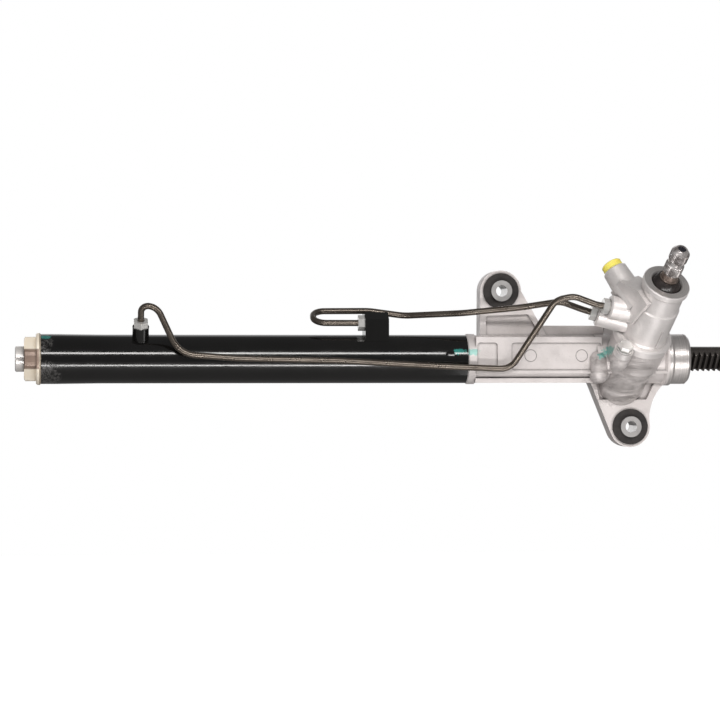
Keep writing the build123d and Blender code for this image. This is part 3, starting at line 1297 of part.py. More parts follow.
def guide_springs():
    """Disc springs stacked cone against cone between the yoke and its plug."""
    floor = GUIDE_YOKE_TO - GUIDE_POCKET_L
    space = GUIDE_PLUG_FROM - floor
    step = space / DISC_SPRINGS
    outer = GUIDE_POCKET_R - SEAT_FIT
    t = DISC_SPRING_T
    springs = []
    for k in range(DISC_SPRINGS):
        z = floor + k * step
        rise = step - t
        low_out = 0 if k % 2 == 0 else rise
        low_in = rise - low_out
        bore_r = DISC_SPRING_BORE_R
        springs.append(on_guide(turned_up([
            (bore_r, z + low_in), (outer, z + low_out), (outer, z + low_out + t), (bore_r, z + low_in + t),
        ])))
    return springs


def guide_plug():
    plug = rod_z(GUIDE_PLUG_FROM, GUIDE_PLUG_TO, GUIDE_BORE_R - SEAT_FIT)
    key = extrude(RegularPolygon(GUIDE_HEX_AF / 2, 6, major_radius=False), GUIDE_HEX_DEPTH + 1)
    return on_guide(plug - Pos(0, 0, GUIDE_PLUG_TO - GUIDE_HEX_DEPTH) * key)


def guide_lock_nut():
    nut = extrude(RegularPolygon(GUIDE_NUT_AF / 2, 6, major_radius=False), GUIDE_NUT_T)
    nut = Pos(0, 0, GUIDE_BOSS_END) * nut
    return on_guide(nut - rod_z(GUIDE_BOSS_END - 1, GUIDE_BOSS_END + GUIDE_NUT_T + 1, GUIDE_BORE_R))


# Mounting bushes

def across(x, z, y0, length, outer, inner):
    """Ring about a mounting bolt's axis, from its front face backwards."""
    ring = Circle(outer) - Circle(inner)
    return stand_up(Pos(x, z) * ring, y0, length)


def bush_rubber(x, z):
    return across(x, z, BUSH_FRONT_Y, BUSH_L, BUSH_D / 2, SLEEVE_OUT_D / 2 + SEAT_FIT)


def bush_sleeve(x, z):
    return across(x, z, SLEEVE_FRONT_Y, SLEEVE_LENGTH, SLEEVE_OUT_D / 2, SLEEVE_BORE_D / 2)


# Hydraulic lines and their nuts

def pipe_nut(kind):
    """Flare nut: a hexagon outside the port and a thread inside it, about the line."""
    head = extrude(RegularPolygon(PIPE_NUT_AF / 2, 6, major_radius=False), PIPE_NUT_HEAD_L)
    crown_r = PIPE_NUT_AF / 2 + 0.4
    top = PIPE_NUT_HEAD_L
    crown = turned_up([(0, 0), (2 * crown_r, 0), (2 * crown_r, top - 1.6), (crown_r, top), (0, top)])
    nut = (head & crown) + rod_z(-PIPE_NUT_THREAD_L, 0, PIPE_NUT_THREAD_D / 2)
    nut -= rod_z(-PIPE_NUT_THREAD_L - 1, PIPE_NUT_HEAD_L + 1, PIPE_D / 2 + SEAT_FIT)
    return port_frame(kind).location * nut


def line_between(start_kind, route, radii, leads, end_kind):
    """Bent tube from one port to the other, straight over the lead at each port."""
    start = port_frame(start_kind)
    end = port_frame(end_kind)
    depth = PIPE_NUT_THREAD_L - 0.5
    first = start.origin - start.z_dir * depth
    last = end.origin - end.z_dir * depth
    lead_out = start.origin + start.z_dir * leads[0]
    lead_in = end.origin + end.z_dir * leads[1]
    points = [first, lead_out] + [Vector(*point) for point in route] + [lead_in, last]
    path = FilletPolyline(*points, radius=radii)
    section = Plane(origin=first, z_dir=start.z_dir) * (Circle(PIPE_D / 2) - Circle(PIPE_D / 2 - PIPE_WALL))
    return sweep(section, path=path)


def left_feed_pipe():
    return line_between("left", LEFT_LINE_ROUTE, LEFT_LINE_RADII, LEFT_LINE_LEADS, "upper")


def right_feed_pipe():
    turn = (BLOCK_LEFT_X - RIGHT_LINE_TURN_L, 16.0, 45.6)
    return line_between("right", [turn] + RIGHT_LINE_ROUTE, RIGHT_LINE_RADII, RIGHT_LINE_LEADS, "lower")


PIECES = {
    "rack_bar": rack_bar,
    "piston": piston,
    "piston_ring": piston_ring,
    "piston_snap_rings": piston_snap_rings,
    "cylinder_tube": cylinder_tube,
    "left_port_boss": left_port_boss,
    "right_port_block": right_port_block,
    "end_nut": end_nut,
    "end_nut_o_ring": end_nut_o_ring,
    "left_rack_bushing": left_rack_bushing,
    "left_rack_seal": left_rack_seal,
    "right_seal_carrier": right_seal_carrier,
    "carrier_o_ring": carrier_o_ring,
    "right_rack_seal": right_rack_seal,
    "right_rack_bushing": right_rack_bushing,
    "gear_housing": gear_housing,
    "valve_housing": valve_housing,
    "joint_bolts": joint_bolts,
    "port_cap": port_cap,
    "pinion_shaft": pinion_shaft,
    "bearing_snap_ring": bearing_snap_ring,
    "bearing_outer_ring": bearing_outer_ring,
    "bearing_inner_ring": bearing_inner_ring,
    "bearing_balls": bearing_balls,
    "bearing_cage": bearing_cage,
    "lower_bearing": lower_bearing,
    "lower_valve_seal": lower_valve_seal,
    "joint_o_ring": joint_o_ring,
    "valve_sleeve": valve_sleeve,
    "valve_sleeve_rings": valve_sleeve_rings,
    "input_shaft": input_shaft,
    "torsion_bar": torsion_bar,
    "torsion_pin": torsion_pin,
    "input_bearing": input_bearing,
    "input_seal": input_seal,
    "dust_seal": dust_seal,
    "guide_liner": guide_liner,
    "guide_yoke": guide_yoke,
    "guide_springs": guide_springs,
    "guide_plug": guide_plug,
    "guide_lock_nut": guide_lock_nut,
    "upper_bush_rubber": lambda: bush_rubber(UPPER_EAR_X, UPPER_EAR_Z),
    "upper_bush_sleeve": lambda: bush_sleeve(UPPER_EAR_X, UPPER_EAR_Z),
    "lower_bush_rubber": lambda: bush_rubber(LOWER_EAR_X, LOWER_EAR_Z),
    "lower_bush_sleeve": lambda: bush_sleeve(LOWER_EAR_X, LOWER_EAR_Z),
    "left_line_cylinder_nut": lambda: pipe_nut("left"),
    "left_line_valve_nut": lambda: pipe_nut("upper"),
    "right_line_cylinder_nut": lambda: pipe_nut("right"),
    "right_line_valve_nut": lambda: pipe_nut("lower"),
    "left_feed_pipe": left_feed_pipe,
    "right_feed_pipe": right_feed_pipe,
}


def save(name, shape):
    """Writes one piece, or a group of equal pieces, in the part's own frame."""
    solids = shape if isinstance(shape, list) else [shape]
    moved = [Pos(-BOOT_SEAT_MID_X, 0, 0) * solid for solid in solids]
    export_step(moved[0] if len(moved) == 1 else Compound(children=moved), f"parts/{name}.step")


os.makedirs("parts", exist_ok=True)
for piece_name, make in PIECES.items():
    save(piece_name, make())
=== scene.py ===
import json
import math
from collections import namedtuple

import bmesh
import bpy
from mathutils import Matrix, Vector


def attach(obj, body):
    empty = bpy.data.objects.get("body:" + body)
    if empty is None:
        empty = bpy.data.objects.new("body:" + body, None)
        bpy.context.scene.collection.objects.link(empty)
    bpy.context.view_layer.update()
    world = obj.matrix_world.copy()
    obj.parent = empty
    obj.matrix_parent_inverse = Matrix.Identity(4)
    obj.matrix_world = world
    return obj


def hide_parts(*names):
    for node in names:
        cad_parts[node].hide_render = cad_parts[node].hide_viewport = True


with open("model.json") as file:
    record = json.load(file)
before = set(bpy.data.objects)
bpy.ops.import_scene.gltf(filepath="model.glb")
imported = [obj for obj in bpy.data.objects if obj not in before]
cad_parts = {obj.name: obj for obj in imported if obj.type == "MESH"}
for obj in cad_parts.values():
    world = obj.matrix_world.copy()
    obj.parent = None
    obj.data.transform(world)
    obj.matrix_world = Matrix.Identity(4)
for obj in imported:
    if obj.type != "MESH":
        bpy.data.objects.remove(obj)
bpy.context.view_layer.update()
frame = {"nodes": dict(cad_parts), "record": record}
NODES = frame["nodes"]

# The pinion's axis, in metres, in the part's frame
SLANT = math.radians(10.0)
ALONG_TEETH = Vector((0.0, -math.sqrt(0.5), math.sqrt(0.5)))
BACK = Vector((0.0, math.sqrt(0.5), math.sqrt(0.5)))
PINION_AXIS = Vector((math.sin(SLANT), 0.0, 0.0)) + ALONG_TEETH * math.cos(SLANT)
LEFTWARD = Vector((-math.cos(SLANT), 0.0, 0.0)) + ALONG_TEETH * math.sin(SLANT)
PINION_ORIGIN = Vector((-0.04895, -0.0085347, -0.0085347))
PINION_MATRIX = Matrix((LEFTWARD, BACK * -1.0, PINION_AXIS)).transposed().to_4x4()
PINION_MATRIX.translation = PINION_ORIGIN

# Where finishes change, in metres: X runs along the bar and S up the pinion's axis
BOOT_COLLAR_X = -0.0105
VALVE_TOP_S = 0.1147
SERRATIONS_S = 0.1278
END_NUT_FLANGE_X = -0.6093
# Half height of the end nut's foremost face, which is painted dark as the shade it reflects
END_NUT_SHADED_FACE_Z = 0.0094
RACK_PALE_X = -0.60
RACK_OILED_X = -0.40

# Worn, painted or wrinkled spots: centre and radius in metres, the factor by which each axis is
# squeezed before the radius is measured, and the share by which the edge wanders
Spot = namedtuple("Spot", "centre radius squeeze wander")
TUBE_SCUFFS = (
    Spot((-0.6020, -0.0170, -0.0150), 0.0105, (0.75, 0.4, 0.75), 0.12),
    Spot((-0.6050, -0.0170, 0.0150), 0.0075, (0.8, 0.4, 0.7), 0.12),
)
TUBE_MARKS = (
    Spot((-0.2165, -0.0225, 0.0068), 0.0026, (0.8, 0.5, 1.0), 0.6),
    Spot((-0.2125, -0.0225, 0.0078), 0.0026, (0.5, 0.5, 1.2), 0.6),
    Spot((-0.6038, -0.0113, 0.0206), 0.0036, (0.6, 1.0, 1.0), 0.35),
)
CASTING_MARKS = (
    Spot((-0.2012, -0.0230, 0.0066), 0.0036, (0.35, 1.0, 1.0), 0.5),
    Spot((-0.0706, -0.0300, 0.0086), 0.0040, (1.0, 0.25, 1.0), 0.5),
    Spot((-0.0745, -0.0300, 0.0058), 0.0042, (1.0, 0.25, 1.0), 0.5),
    Spot((-0.0785, -0.0300, 0.0032), 0.0036, (1.0, 0.25, 1.0), 0.5),
)
END_NUT_MARK = Spot((-0.6060, -0.0236, 0.0203), 0.0044, (0.6, 1.0, 1.0), 0.35)
BARREL_FOLDS = Spot((-0.0600, -0.0250, -0.0170), 0.031, (0.85, 0.45, 1.0), 0.05)

# Linear colours that lie over a finish
WHITE = (1.0, 1.0, 1.0)
DUST = (0.03, 0.028, 0.026)
SCUFF = (0.075, 0.072, 0.070)
MARK_ON_TUBE = (0.03, 0.235, 0.205)
MARK_ON_CASTING = (0.17, 0.50, 0.44)
MARK_ON_NUT = (0.05, 0.30, 0.26)
FOLD_SHADE = (0.25, 0.228, 0.22)
# Painted shade laid in the corners of zinc plate, the rack and the input shaft
ZINC_CORNER_SHADE = (0.03, 0.028, 0.027)
RACK_CORNER_SHADE = (0.012, 0.010, 0.009)
SHAFT_CORNER_SHADE = (0.015, 0.012, 0.011)

# What a casting's dark shade is multiplied by in stains, pits and painted corner shade
STAIN_SHARE = (0.74, 0.70, 0.66)
PIT_SHARE = (0.50, 0.50, 0.50)
CORNER_SHADE_SHARE = (0.16, 0.16, 0.16)

# Dark and light shade of each finish, linear
SHADES = {
    "paint": ((0.0024, 0.0022, 0.0021), (0.0050, 0.0046, 0.0044)),
    "gear_casting": ((0.605, 0.563, 0.551), (0.715, 0.672, 0.663)),
    "valve_casting": ((0.73, 0.694, 0.682), (0.88, 0.84, 0.828)),
    "turned_casting": ((0.50, 0.472, 0.46), (0.76, 0.728, 0.712)),
    "line": ((0.120, 0.101, 0.084), (0.195, 0.168, 0.143)),
    "warm_zinc": ((0.96, 0.84, 0.67), (1.0, 0.92, 0.79)),
    # The end nut's foremost face: painted shade
    "warm_zinc_shaded_face": ((0.22, 0.155, 0.125), (0.34, 0.25, 0.20)),
    "warm_zinc_flange": ((0.25, 0.20, 0.148), (0.46, 0.388, 0.305)),
    "silver_zinc": ((0.82, 0.81, 0.785), (0.94, 0.93, 0.915)),
    "bush_sleeve": ((0.70, 0.68, 0.67), (0.86, 0.84, 0.83)),
    "rack_pale": ((0.80, 0.77, 0.75), (0.95, 0.92, 0.90)),
    "rack_oiled": ((0.10, 0.09, 0.085), (0.19, 0.17, 0.158)),
    "shaft_neck": ((0.20, 0.15, 0.125), (0.40, 0.32, 0.28)),
    "machined_steel": ((0.46, 0.43, 0.42), (0.70, 0.665, 0.65)),
    "bearing_steel": ((0.56, 0.56, 0.57), (0.70, 0.70, 0.71)),
    "spring_steel": ((0.12, 0.12, 0.15), (0.20, 0.20, 0.24)),
    "bronze": ((0.42, 0.28, 0.13), (0.55, 0.38, 0.18)),
    "bush_rubber": ((0.012, 0.010, 0.0095), (0.026, 0.021, 0.019)),
    "seal_rubber": ((0.018, 0.018, 0.019), (0.035, 0.034, 0.036)),
    "boot_rubber": ((0.012, 0.010, 0.010), (0.040, 0.032, 0.030)),
    "ring_plastic": ((0.14, 0.10, 0.07), (0.20, 0.14, 0.09)),
    "cage_plastic": ((0.45, 0.40, 0.30), (0.55, 0.50, 0.38)),
    "cap_plastic": ((0.87, 0.73, 0.12), (0.95, 0.83, 0.20)),
}
SERRATION_STOPS = (
    (0.32, (0.20, 0.175, 0.165)), (0.5, (0.55, 0.51, 0.50)), (0.66, (0.92, 0.88, 0.87)),
)
CAP_SUBSURFACE = dict(
    Subsurface_Weight=0.3, Subsurface_Radius=(0.004, 0.003, 0.001), Subsurface_Scale=1.0)

# Stretch of the noise in turned pieces, along the bar and in the folds, and how far those lean
ROUND_X = (1.0, 0.06, 0.06)
ALONG_X = (0.05, 1.0, 1.0)
FOLD_STRETCH = (0.55, 1.0, 2.6)
FOLD_LEAN = 0.55
RINGS_PER_METRE = 1500.0

# Painted shade in corners: share of open sky from which a corner counts as open, and under which
# it gets the full shade
OPEN_CORNER = 0.92
CLOSED_CORNER = 0.30
CORNER_SAMPLES = 8

# How steeply a spot ends: its soft edge takes one part in this many of its radius
SPOT_EDGE = 4.0

CAMERA_PLACE = (-0.60585, -2.5505, -0.00095)
CAMERA_TURN = math.radians(-6.7)
CAMERA_LENS = 135.0
CAMERA_SENSOR = 36.0

# Lamps: place, target and size in metres, radiance and tint of the lit face
SOFTBOXES = {
    "softbox_upper": dict(
        place=(-0.10, -1.96, 1.00), target=(-0.15, 0.0, 0.0),
        width=1.8, height=0.25, radiance=14.2, tint=(1.0, 0.98, 0.96)),
    "softbox_below": dict(
        place=(-0.043, -0.22, -0.46), target=(-0.043, -0.04, 0.03),
        width=0.175, height=0.32, radiance=1.55, tint=(1.0, 0.985, 0.975)),
    "softbox_lower": dict(
        place=(-0.10, -0.90, -0.53), target=(-0.12, 0.0, 0.0),
        width=1.5, height=0.075, radiance=17.5, tint=(1.0, 0.98, 0.965)),
}

# The room: strengths at both ends of a span of the direction's Y, -1 being towards the front
ROOM_SPAN = (-0.9, 0.5)
ROOM_STRENGTHS = (0.88, 0.14)
ROOM_TINT = (1.0, 0.985, 0.97)
REFLECTED_SPAN = (0.62, 0.95)
REFLECTED_STRENGTHS = (0.145, 1.0)

# The floor shows pale to the camera and lights the part as a darker one
FLOOR_HALF_SIDE = 6.0
FLOOR_Z = -0.62
FLOOR_SHOWN = (0.86, 0.86, 0.86)
FLOOR_GLOW = 0.85
FLOOR_LIGHTING = (0.36, 0.36, 0.36)

# Socket numbers of a Mix node between colours: three inputs and the output
MIX_SHARE, MIX_FROM, MIX_TO, MIX_RESULT = 0, 6, 7, 2


class Graph:
    """A node tree with short ways to add nodes and to set or link their inputs."""

    def __init__(self, tree):
        self.tree = tree

    def feed(self, socket, value):
        """Links the socket to another node's output, or sets it to a number, vector or colour."""
        if isinstance(value, bpy.types.NodeSocket):
            self.tree.links.new(value, socket)
        elif socket.type == "RGBA":
            socket.default_value = (*value, 1.0)
        else:
            socket.default_value = value

    def node(self, kind, inputs=None, **settings):
        """A new node with its settings, and its inputs by name or number."""
        node = self.tree.nodes.new(kind)
        for key, value in settings.items():
            setattr(node, key, value)
        for key, value in (inputs or {}).items():
            self.feed(node.inputs[key], value)
        return node

    def blend(self, share, shader, other):
        """The first shader at share 0 and the other at 1."""
        return self.node("ShaderNodeMixShader", {0: share, 1: shader, 2: other}).outputs[0]

    def background(self, span, strengths, tint):
        """Background whose strength runs along Y of the direction it is seen in."""
        seen = self.node("ShaderNodeTexCoord").outputs["Generated"]
        along = self.node("ShaderNodeSeparateXYZ", {0: seen}).outputs["Y"]
        names = ("From Min", "From Max", "To Min", "To Max")
        run = self.node("ShaderNodeMapRange", dict(zip(names, (*span, *strengths)), Value=along),
                        interpolation_type="SMOOTHSTEP")
        shade = {"Color": tint, "Strength": run.outputs["Result"]}
        return self.node("ShaderNodeBackground", shade).outputs[0]


class Look(Graph):
    """A material with a principled shader, whose patterns follow the part's own coordinates."""

    def __init__(self, name):
        self.material = bpy.data.materials.new(name)
        self.material.use_nodes = True
        super().__init__(self.material.node_tree)
        self.shader = self.tree.nodes["Principled BSDF"]
        self.place = self.node("ShaderNodeTexCoord").outputs["Object"]

    def axis(self, name):
        return self.node("ShaderNodeSeparateXYZ", {0: self.place}).outputs[name]

    def maths(self, operation, a, b=0.0, clamp=False):
        return self.node(
            "ShaderNodeMath", {0: a, 1: b}, operation=operation, use_clamp=clamp).outputs[0]

    def vector_maths(self, operation, *inputs):
        return self.node(
            "ShaderNodeVectorMath", dict(enumerate(inputs)), operation=operation).outputs

    def noise(self, scale, detail=3.0, roughness=0.55, stretch=None, lean=0.0, distortion=0.0):
        """Clouds, drawn out by a stretch whose axes lean in the X-Z plane."""
        source = self.place
        if stretch:
            source = self.node("ShaderNodeMapping", {
                "Vector": source, "Rotation": (0.0, lean, 0.0), "Scale": stretch,
            }).outputs["Vector"]
        return self.node("ShaderNodeTexNoise", {
            "Vector": source, "Scale": scale, "Detail": detail, "Roughness": roughness,
            "Distortion": distortion,
        }).outputs["Fac"]

    def rings(self, value):
        """Fine lines that follow one another as the value grows."""
        turns = self.maths("MULTIPLY", value, RINGS_PER_METRE)
        return self.node("ShaderNodeTexNoise", noise_dimensions="1D", inputs={
            "W": turns, "Scale": 1.0, "Detail": 4.0,
        }).outputs["Fac"]

    def ramp(self, source, stops):
        node = self.node("ShaderNodeValToRGB", {"Fac": source})
        elements = node.color_ramp.elements
        while len(elements) < len(stops):
            elements.new(0.5)
        for element, (at, colour) in zip(elements, stops):
            element.position = at
            element.color = (*colour, 1.0)
        return node.outputs["Color"]

    def shades(self, source, finish, start=0.3, end=0.7):
        """A finish's dark shade up to the start and its light one from the end."""
        return self.ramp(source, tuple(zip((start, end), SHADES[finish])))

    def remap(self, source, low=0.0, high=1.0, start=0.3, end=0.7):
        """The source's run from start to end, as a run from low to high."""
        return self.node("ShaderNodeMapRange", {
            "Value": source, "From Min": start, "From Max": end, "To Min": low, "To Max": high,
        }).outputs["Result"]

    def step_up(self, value, edge, width=0.0003):
        """0 below the edge and 1 above it."""
        return self.remap(value, start=edge - width, end=edge + width)

    def mix(self, share, colour, other):
        inputs = {MIX_SHARE: share, MIX_FROM: colour, MIX_TO: other}
        return self.node("ShaderNodeMix", inputs, data_type="RGBA").outputs[MIX_RESULT]

    def bump(self, height, strength, distance, below=None):
        """Normal of a height in metres, over another bump where one is given."""
        inputs = {"Height": height, "Strength": strength, "Distance": distance}
        if below is not None:
            inputs["Normal"] = below
        return self.node("ShaderNodeBump", inputs).outputs["Normal"]

    def painted_corner_shade(self, reach, most):
        """Share of painted shade: up to the given share in narrow corners, 0 on open faces."""
        corner = self.node(
            "ShaderNodeAmbientOcclusion", {"Distance": reach}, samples=CORNER_SAMPLES)
        return self.remap(corner.outputs["AO"], low=most, high=0.0,
                          start=CLOSED_CORNER, end=OPEN_CORNER)

    def near(self, spot):
        """1 inside a spot, 0 outside."""
        shifted = self.node("ShaderNodeMapping", {
            "Vector": self.place,
            "Location": [-c * k for c, k in zip(spot.centre, spot.squeeze)],
            "Scale": spot.squeeze,
        }).outputs["Vector"]
        length = self.vector_maths("LENGTH", shifted)["Value"]
        ragged = self.noise(420.0, detail=4.0, roughness=0.6)
        edge = self.remap(ragged, low=spot.radius * (1 - spot.wander),
                          high=spot.radius * (1 + spot.wander))
        inside = self.maths("SUBTRACT", edge, length)
        return self.maths("MULTIPLY", inside, SPOT_EDGE / spot.radius, clamp=True)

    def from_pinion(self):
        return self.vector_maths("SUBTRACT", self.place, PINION_ORIGIN)["Vector"]

    def pinion_height(self):
        """Distance up the pinion's axis."""
        return self.vector_maths("DOT_PRODUCT", self.from_pinion(), PINION_AXIS)["Value"]

    def pinion_radius(self):
        """Distance from the pinion's axis."""
        across = self.vector_maths("CROSS_PRODUCT", self.from_pinion(), PINION_AXIS)["Vector"]
        return self.vector_maths("LENGTH", across)["Value"]

    def set(self, **values):
        for key, value in values.items():
            self.feed(self.shader.inputs[key.replace("_", " ")], value)
        return self.material


def scaled(colour, share):
    return tuple(c * k for c, k in zip(colour, share))


# Camera, lights and stage

def make_camera():
    data = bpy.data.cameras.new("camera")
    data.lens = CAMERA_LENS
    data.sensor_width = CAMERA_SENSOR
    camera = bpy.data.objects.new("camera", data)
    camera.location = CAMERA_PLACE
    camera.rotation_euler = (math.radians(90.0), 0.0, CAMERA_TURN)
    bpy.context.scene.collection.objects.link(camera)
    bpy.context.scene.camera = camera


def make_softbox(name, place, target, width, height, radiance, tint):
    data = bpy.data.lights.new(name, "AREA")
    data.shape = "RECTANGLE"
    data.size = width
    data.size_y = height
    data.energy = radiance * math.pi * width * height
    data.color = tint
    lamp = bpy.data.objects.new(name, data)
    lamp.location = place
    lamp.rotation_euler = (Vector(target) - Vector(place)).to_track_quat("-Z", "Y").to_euler()
    lamp.visible_camera = False
    bpy.context.scene.collection.objects.link(lamp)


def make_world():
    """White backdrop, also in reflections of what lies behind; a dimmer room lights the front."""
    world = bpy.data.worlds.new("studio")
    bpy.context.scene.world = world
    world.use_nodes = True
    world.node_tree.nodes.clear()
    graph = Graph(world.node_tree)
    ray = graph.node("ShaderNodeLightPath").outputs
    mirrored = graph.node(
        "ShaderNodeMath", {0: ray["Is Glossy Ray"], 1: ray["Is Transmission Ray"]},
        operation="MAXIMUM").outputs[0]
    room = graph.background(ROOM_SPAN, ROOM_STRENGTHS, ROOM_TINT)
    reflected = graph.background(REFLECTED_SPAN, REFLECTED_STRENGTHS, WHITE)
    white = graph.node("ShaderNodeBackground", {"Color": WHITE, "Strength": 1.0}).outputs[0]
    lighting = graph.blend(mirrored, room, reflected)
    surface = graph.blend(ray["Is Camera Ray"], lighting, white)
    graph.node("ShaderNodeOutputWorld", {"Surface": surface})


def make_floor():
    mesh = bpy.data.meshes.new("floor")
    s = FLOOR_HALF_SIDE
    corners = [(-s, -s, FLOOR_Z), (s, -s, FLOOR_Z), (s, s, FLOOR_Z), (-s, s, FLOOR_Z)]
    mesh.from_pydata(corners, [], [(0, 1, 2, 3)])
    floor = bpy.data.objects.new("floor", mesh)
    bpy.context.scene.collection.objects.link(floor)
    material = bpy.data.materials.new("floor_white")
    material.use_nodes = True
    material.node_tree.nodes.clear()
    graph = Graph(material.node_tree)
    ray = graph.node("ShaderNodeLightPath").outputs
    pale = graph.node("ShaderNodeBsdfDiffuse", {"Color": FLOOR_SHOWN}).outputs[0]
    glow = graph.node("ShaderNodeEmission", {"Color": WHITE, "Strength": FLOOR_GLOW}).outputs[0]
    shown = graph.node("ShaderNodeAddShader", {0: pale, 1: glow}).outputs[0]
    lighting = graph.node("ShaderNodeBsdfDiffuse", {"Color": FLOOR_LIGHTING}).outputs[0]
    surface = graph.blend(ray["Is Camera Ray"], lighting, shown)
    graph.node("ShaderNodeOutputMaterial", {"Surface": surface})
    mesh.materials.append(material)


# Materials

def black_paint():
    """Gloss paint with dust, scuffs at the tube's mouth and paint marks."""
    look = Look("cylinder_paint_gloss")
    colour = look.shades(look.noise(14.0, detail=5.0), "paint")
    specks = look.remap(look.noise(900.0, roughness=0.7), start=0.70, end=0.78)
    colour = look.mix(specks, colour, DUST)
    scuffed = look.maths("MAXIMUM", *(look.near(spot) for spot in TUBE_SCUFFS))
    wear = look.remap(look.noise(260.0, detail=5.0, roughness=0.75), start=0.44, end=0.60)
    scuffed = look.maths("MULTIPLY", scuffed, wear)
    colour = look.mix(scuffed, colour, SCUFF)
    for spot in TUBE_MARKS:
        colour = look.mix(look.maths("MULTIPLY", look.near(spot), 0.7), colour, MARK_ON_TUBE)
    rough = look.remap(look.noise(60.0, detail=4.0), low=0.10, high=0.17)
    rough = look.maths("ADD", rough, look.maths("MULTIPLY", scuffed, 0.28))
    peel = look.bump(look.noise(260.0, detail=2.0), strength=0.06, distance=0.0004)
    return look.set(Base_Color=colour, Roughness=rough, Normal=peel, Specular_IOR_Level=0.72)


def cast_skin(look, finish, rough, grain):
    """Colour, roughness and normal of a casting's skin, stained, pitted and with painted shade in
    corners.
    """
    dark = SHADES[finish][0]
    cloud = look.noise(30.0, detail=6.0, roughness=0.6)
    colour = look.shades(cloud, finish, start=0.28, end=0.62)
    stain = look.noise(9.0, detail=5.0, roughness=0.65)
    stain = look.remap(stain, high=0.20, start=0.52, end=0.72)
    colour = look.mix(stain, colour, scaled(dark, STAIN_SHARE))
    pits = look.noise(650.0, detail=4.0, roughness=0.65)
    pits = look.remap(pits, high=0.40, start=0.60, end=0.75)
    colour = look.mix(pits, colour, scaled(dark, PIT_SHARE))
    # Painted shade in the casting's narrow corners
    colour = look.mix(look.painted_corner_shade(0.0032, most=0.70), colour, scaled(dark, CORNER_SHADE_SHARE))
    patches = look.noise(90.0, detail=4.0)
    roughness = look.remap(patches, low=rough - 0.07, high=rough + 0.09)
    sand = look.noise(grain, detail=4.0, roughness=0.6)
    normal = look.bump(sand, strength=0.30, distance=0.0005)
    normal = look.bump(look.noise(110.0), strength=0.22, distance=0.0013, below=normal)
    return colour, roughness, normal


def turned_face(look, skin, mask, across, metal):
    """The skin with a bright finish and fine rings inside the mask, and how metallic it is."""
    colour, rough, normal = skin
    rings = look.rings(across)
    colour = look.mix(mask, colour, look.shades(rings, "turned_casting"))
    smoother = look.maths("SUBTRACT", rough, look.remap(rings, low=0.28, high=0.36))
    rough = look.maths("SUBTRACT", rough, look.maths("MULTIPLY", mask, smoother))
    grooves = look.maths("MULTIPLY", mask, rings)
    normal = look.bump(grooves, strength=0.08, distance=0.0001, below=normal)
    metallic = look.remap(mask, low=metal, high=0.74, start=0.0, end=1.0)
    return colour, rough, normal, metallic


def gear_housing_metal():
    """Cast skin with folds on the pinion's barrel, a turned boot collar and paint marks."""
    look = Look("gear_housing_cast")
    colour, rough, normal = cast_skin(look, "gear_casting", rough=0.42, grain=900.0)
    folds = look.near(BARREL_FOLDS)
    streaks = look.noise(40.0, detail=4.0, roughness=0.58, stretch=FOLD_STRETCH,
                         lean=FOLD_LEAN, distortion=0.6)
    shadow = look.remap(streaks, low=0.04, high=0.80, start=0.42, end=0.64)
    colour = look.mix(look.maths("MULTIPLY", folds, shadow), colour, FOLD_SHADE)
    ridges = look.maths("MULTIPLY", folds, streaks)
    normal = look.bump(ridges, strength=0.7, distance=0.0042, below=normal)
    along = look.axis("X")
    collar = look.step_up(along, BOOT_COLLAR_X)
    colour, rough, normal, metallic = turned_face(
        look, (colour, rough, normal), collar, along, metal=0.34)
    for spot in CASTING_MARKS:
        smear = look.maths("MULTIPLY", look.near(spot), 0.72)
        colour = look.mix(smear, colour, MARK_ON_CASTING)
    return look.set(Base_Color=colour, Roughness=rough, Normal=normal, Metallic=metallic)


def valve_housing_metal():
    """Brighter cast skin with a turned face at the top."""
    look = Look("valve_housing_cast")
    skin = cast_skin(look, "valve_casting", rough=0.40, grain=1100.0)
    top = look.step_up(look.pinion_height(), VALVE_TOP_S, width=0.0001)
    colour, rough, normal, metallic = turned_face(
        look, skin, top, look.pinion_radius(), metal=0.52)
    return look.set(Base_Color=colour, Roughness=rough, Normal=normal, Metallic=metallic)


def steel(name, finish, rough, stretch=None, strength=0.10):
    look = Look(name)
    cloud = look.noise(45.0, detail=5.0)
    colour = look.shades(cloud, finish, end=0.68)
    lines = look.noise(1400.0, roughness=0.6, stretch=stretch)
    roughness = look.maths("ADD", look.remap(lines, low=rough - 0.05, high=rough + 0.07),
                           look.remap(cloud, high=0.05))
    normal = look.bump(lines, strength, distance=0.0002)
    return look.set(Base_Color=colour, Roughness=roughness, Normal=normal, Metallic=1.0)


def line_metal():
    """Brownish plated tube, smooth and with faint cloudy wear."""
    look = Look("line_steel_plated")
    colour = look.shades(look.noise(38.0, detail=4.0), "line")
    rough = look.remap(look.noise(120.0), low=0.25, high=0.34)
    return look.set(Base_Color=colour, Roughness=rough, Metallic=0.85)


def zinc(name, finish, reach=0.0018):
    """Silver plate with painted shade in corners as far as the reach, in metres."""
    look = Look(name)
    colour = look.shades(look.noise(70.0, detail=4.0), finish)
    colour = look.mix(look.painted_corner_shade(reach, most=0.88), colour, ZINC_CORNER_SHADE)
    rough = look.remap(look.noise(160.0), low=0.13, high=0.22)
    normal = look.bump(look.noise(380.0, detail=2.0), strength=0.05, distance=0.0002)
    return look.set(Base_Color=colour, Roughness=rough, Normal=normal, Metallic=0.66)


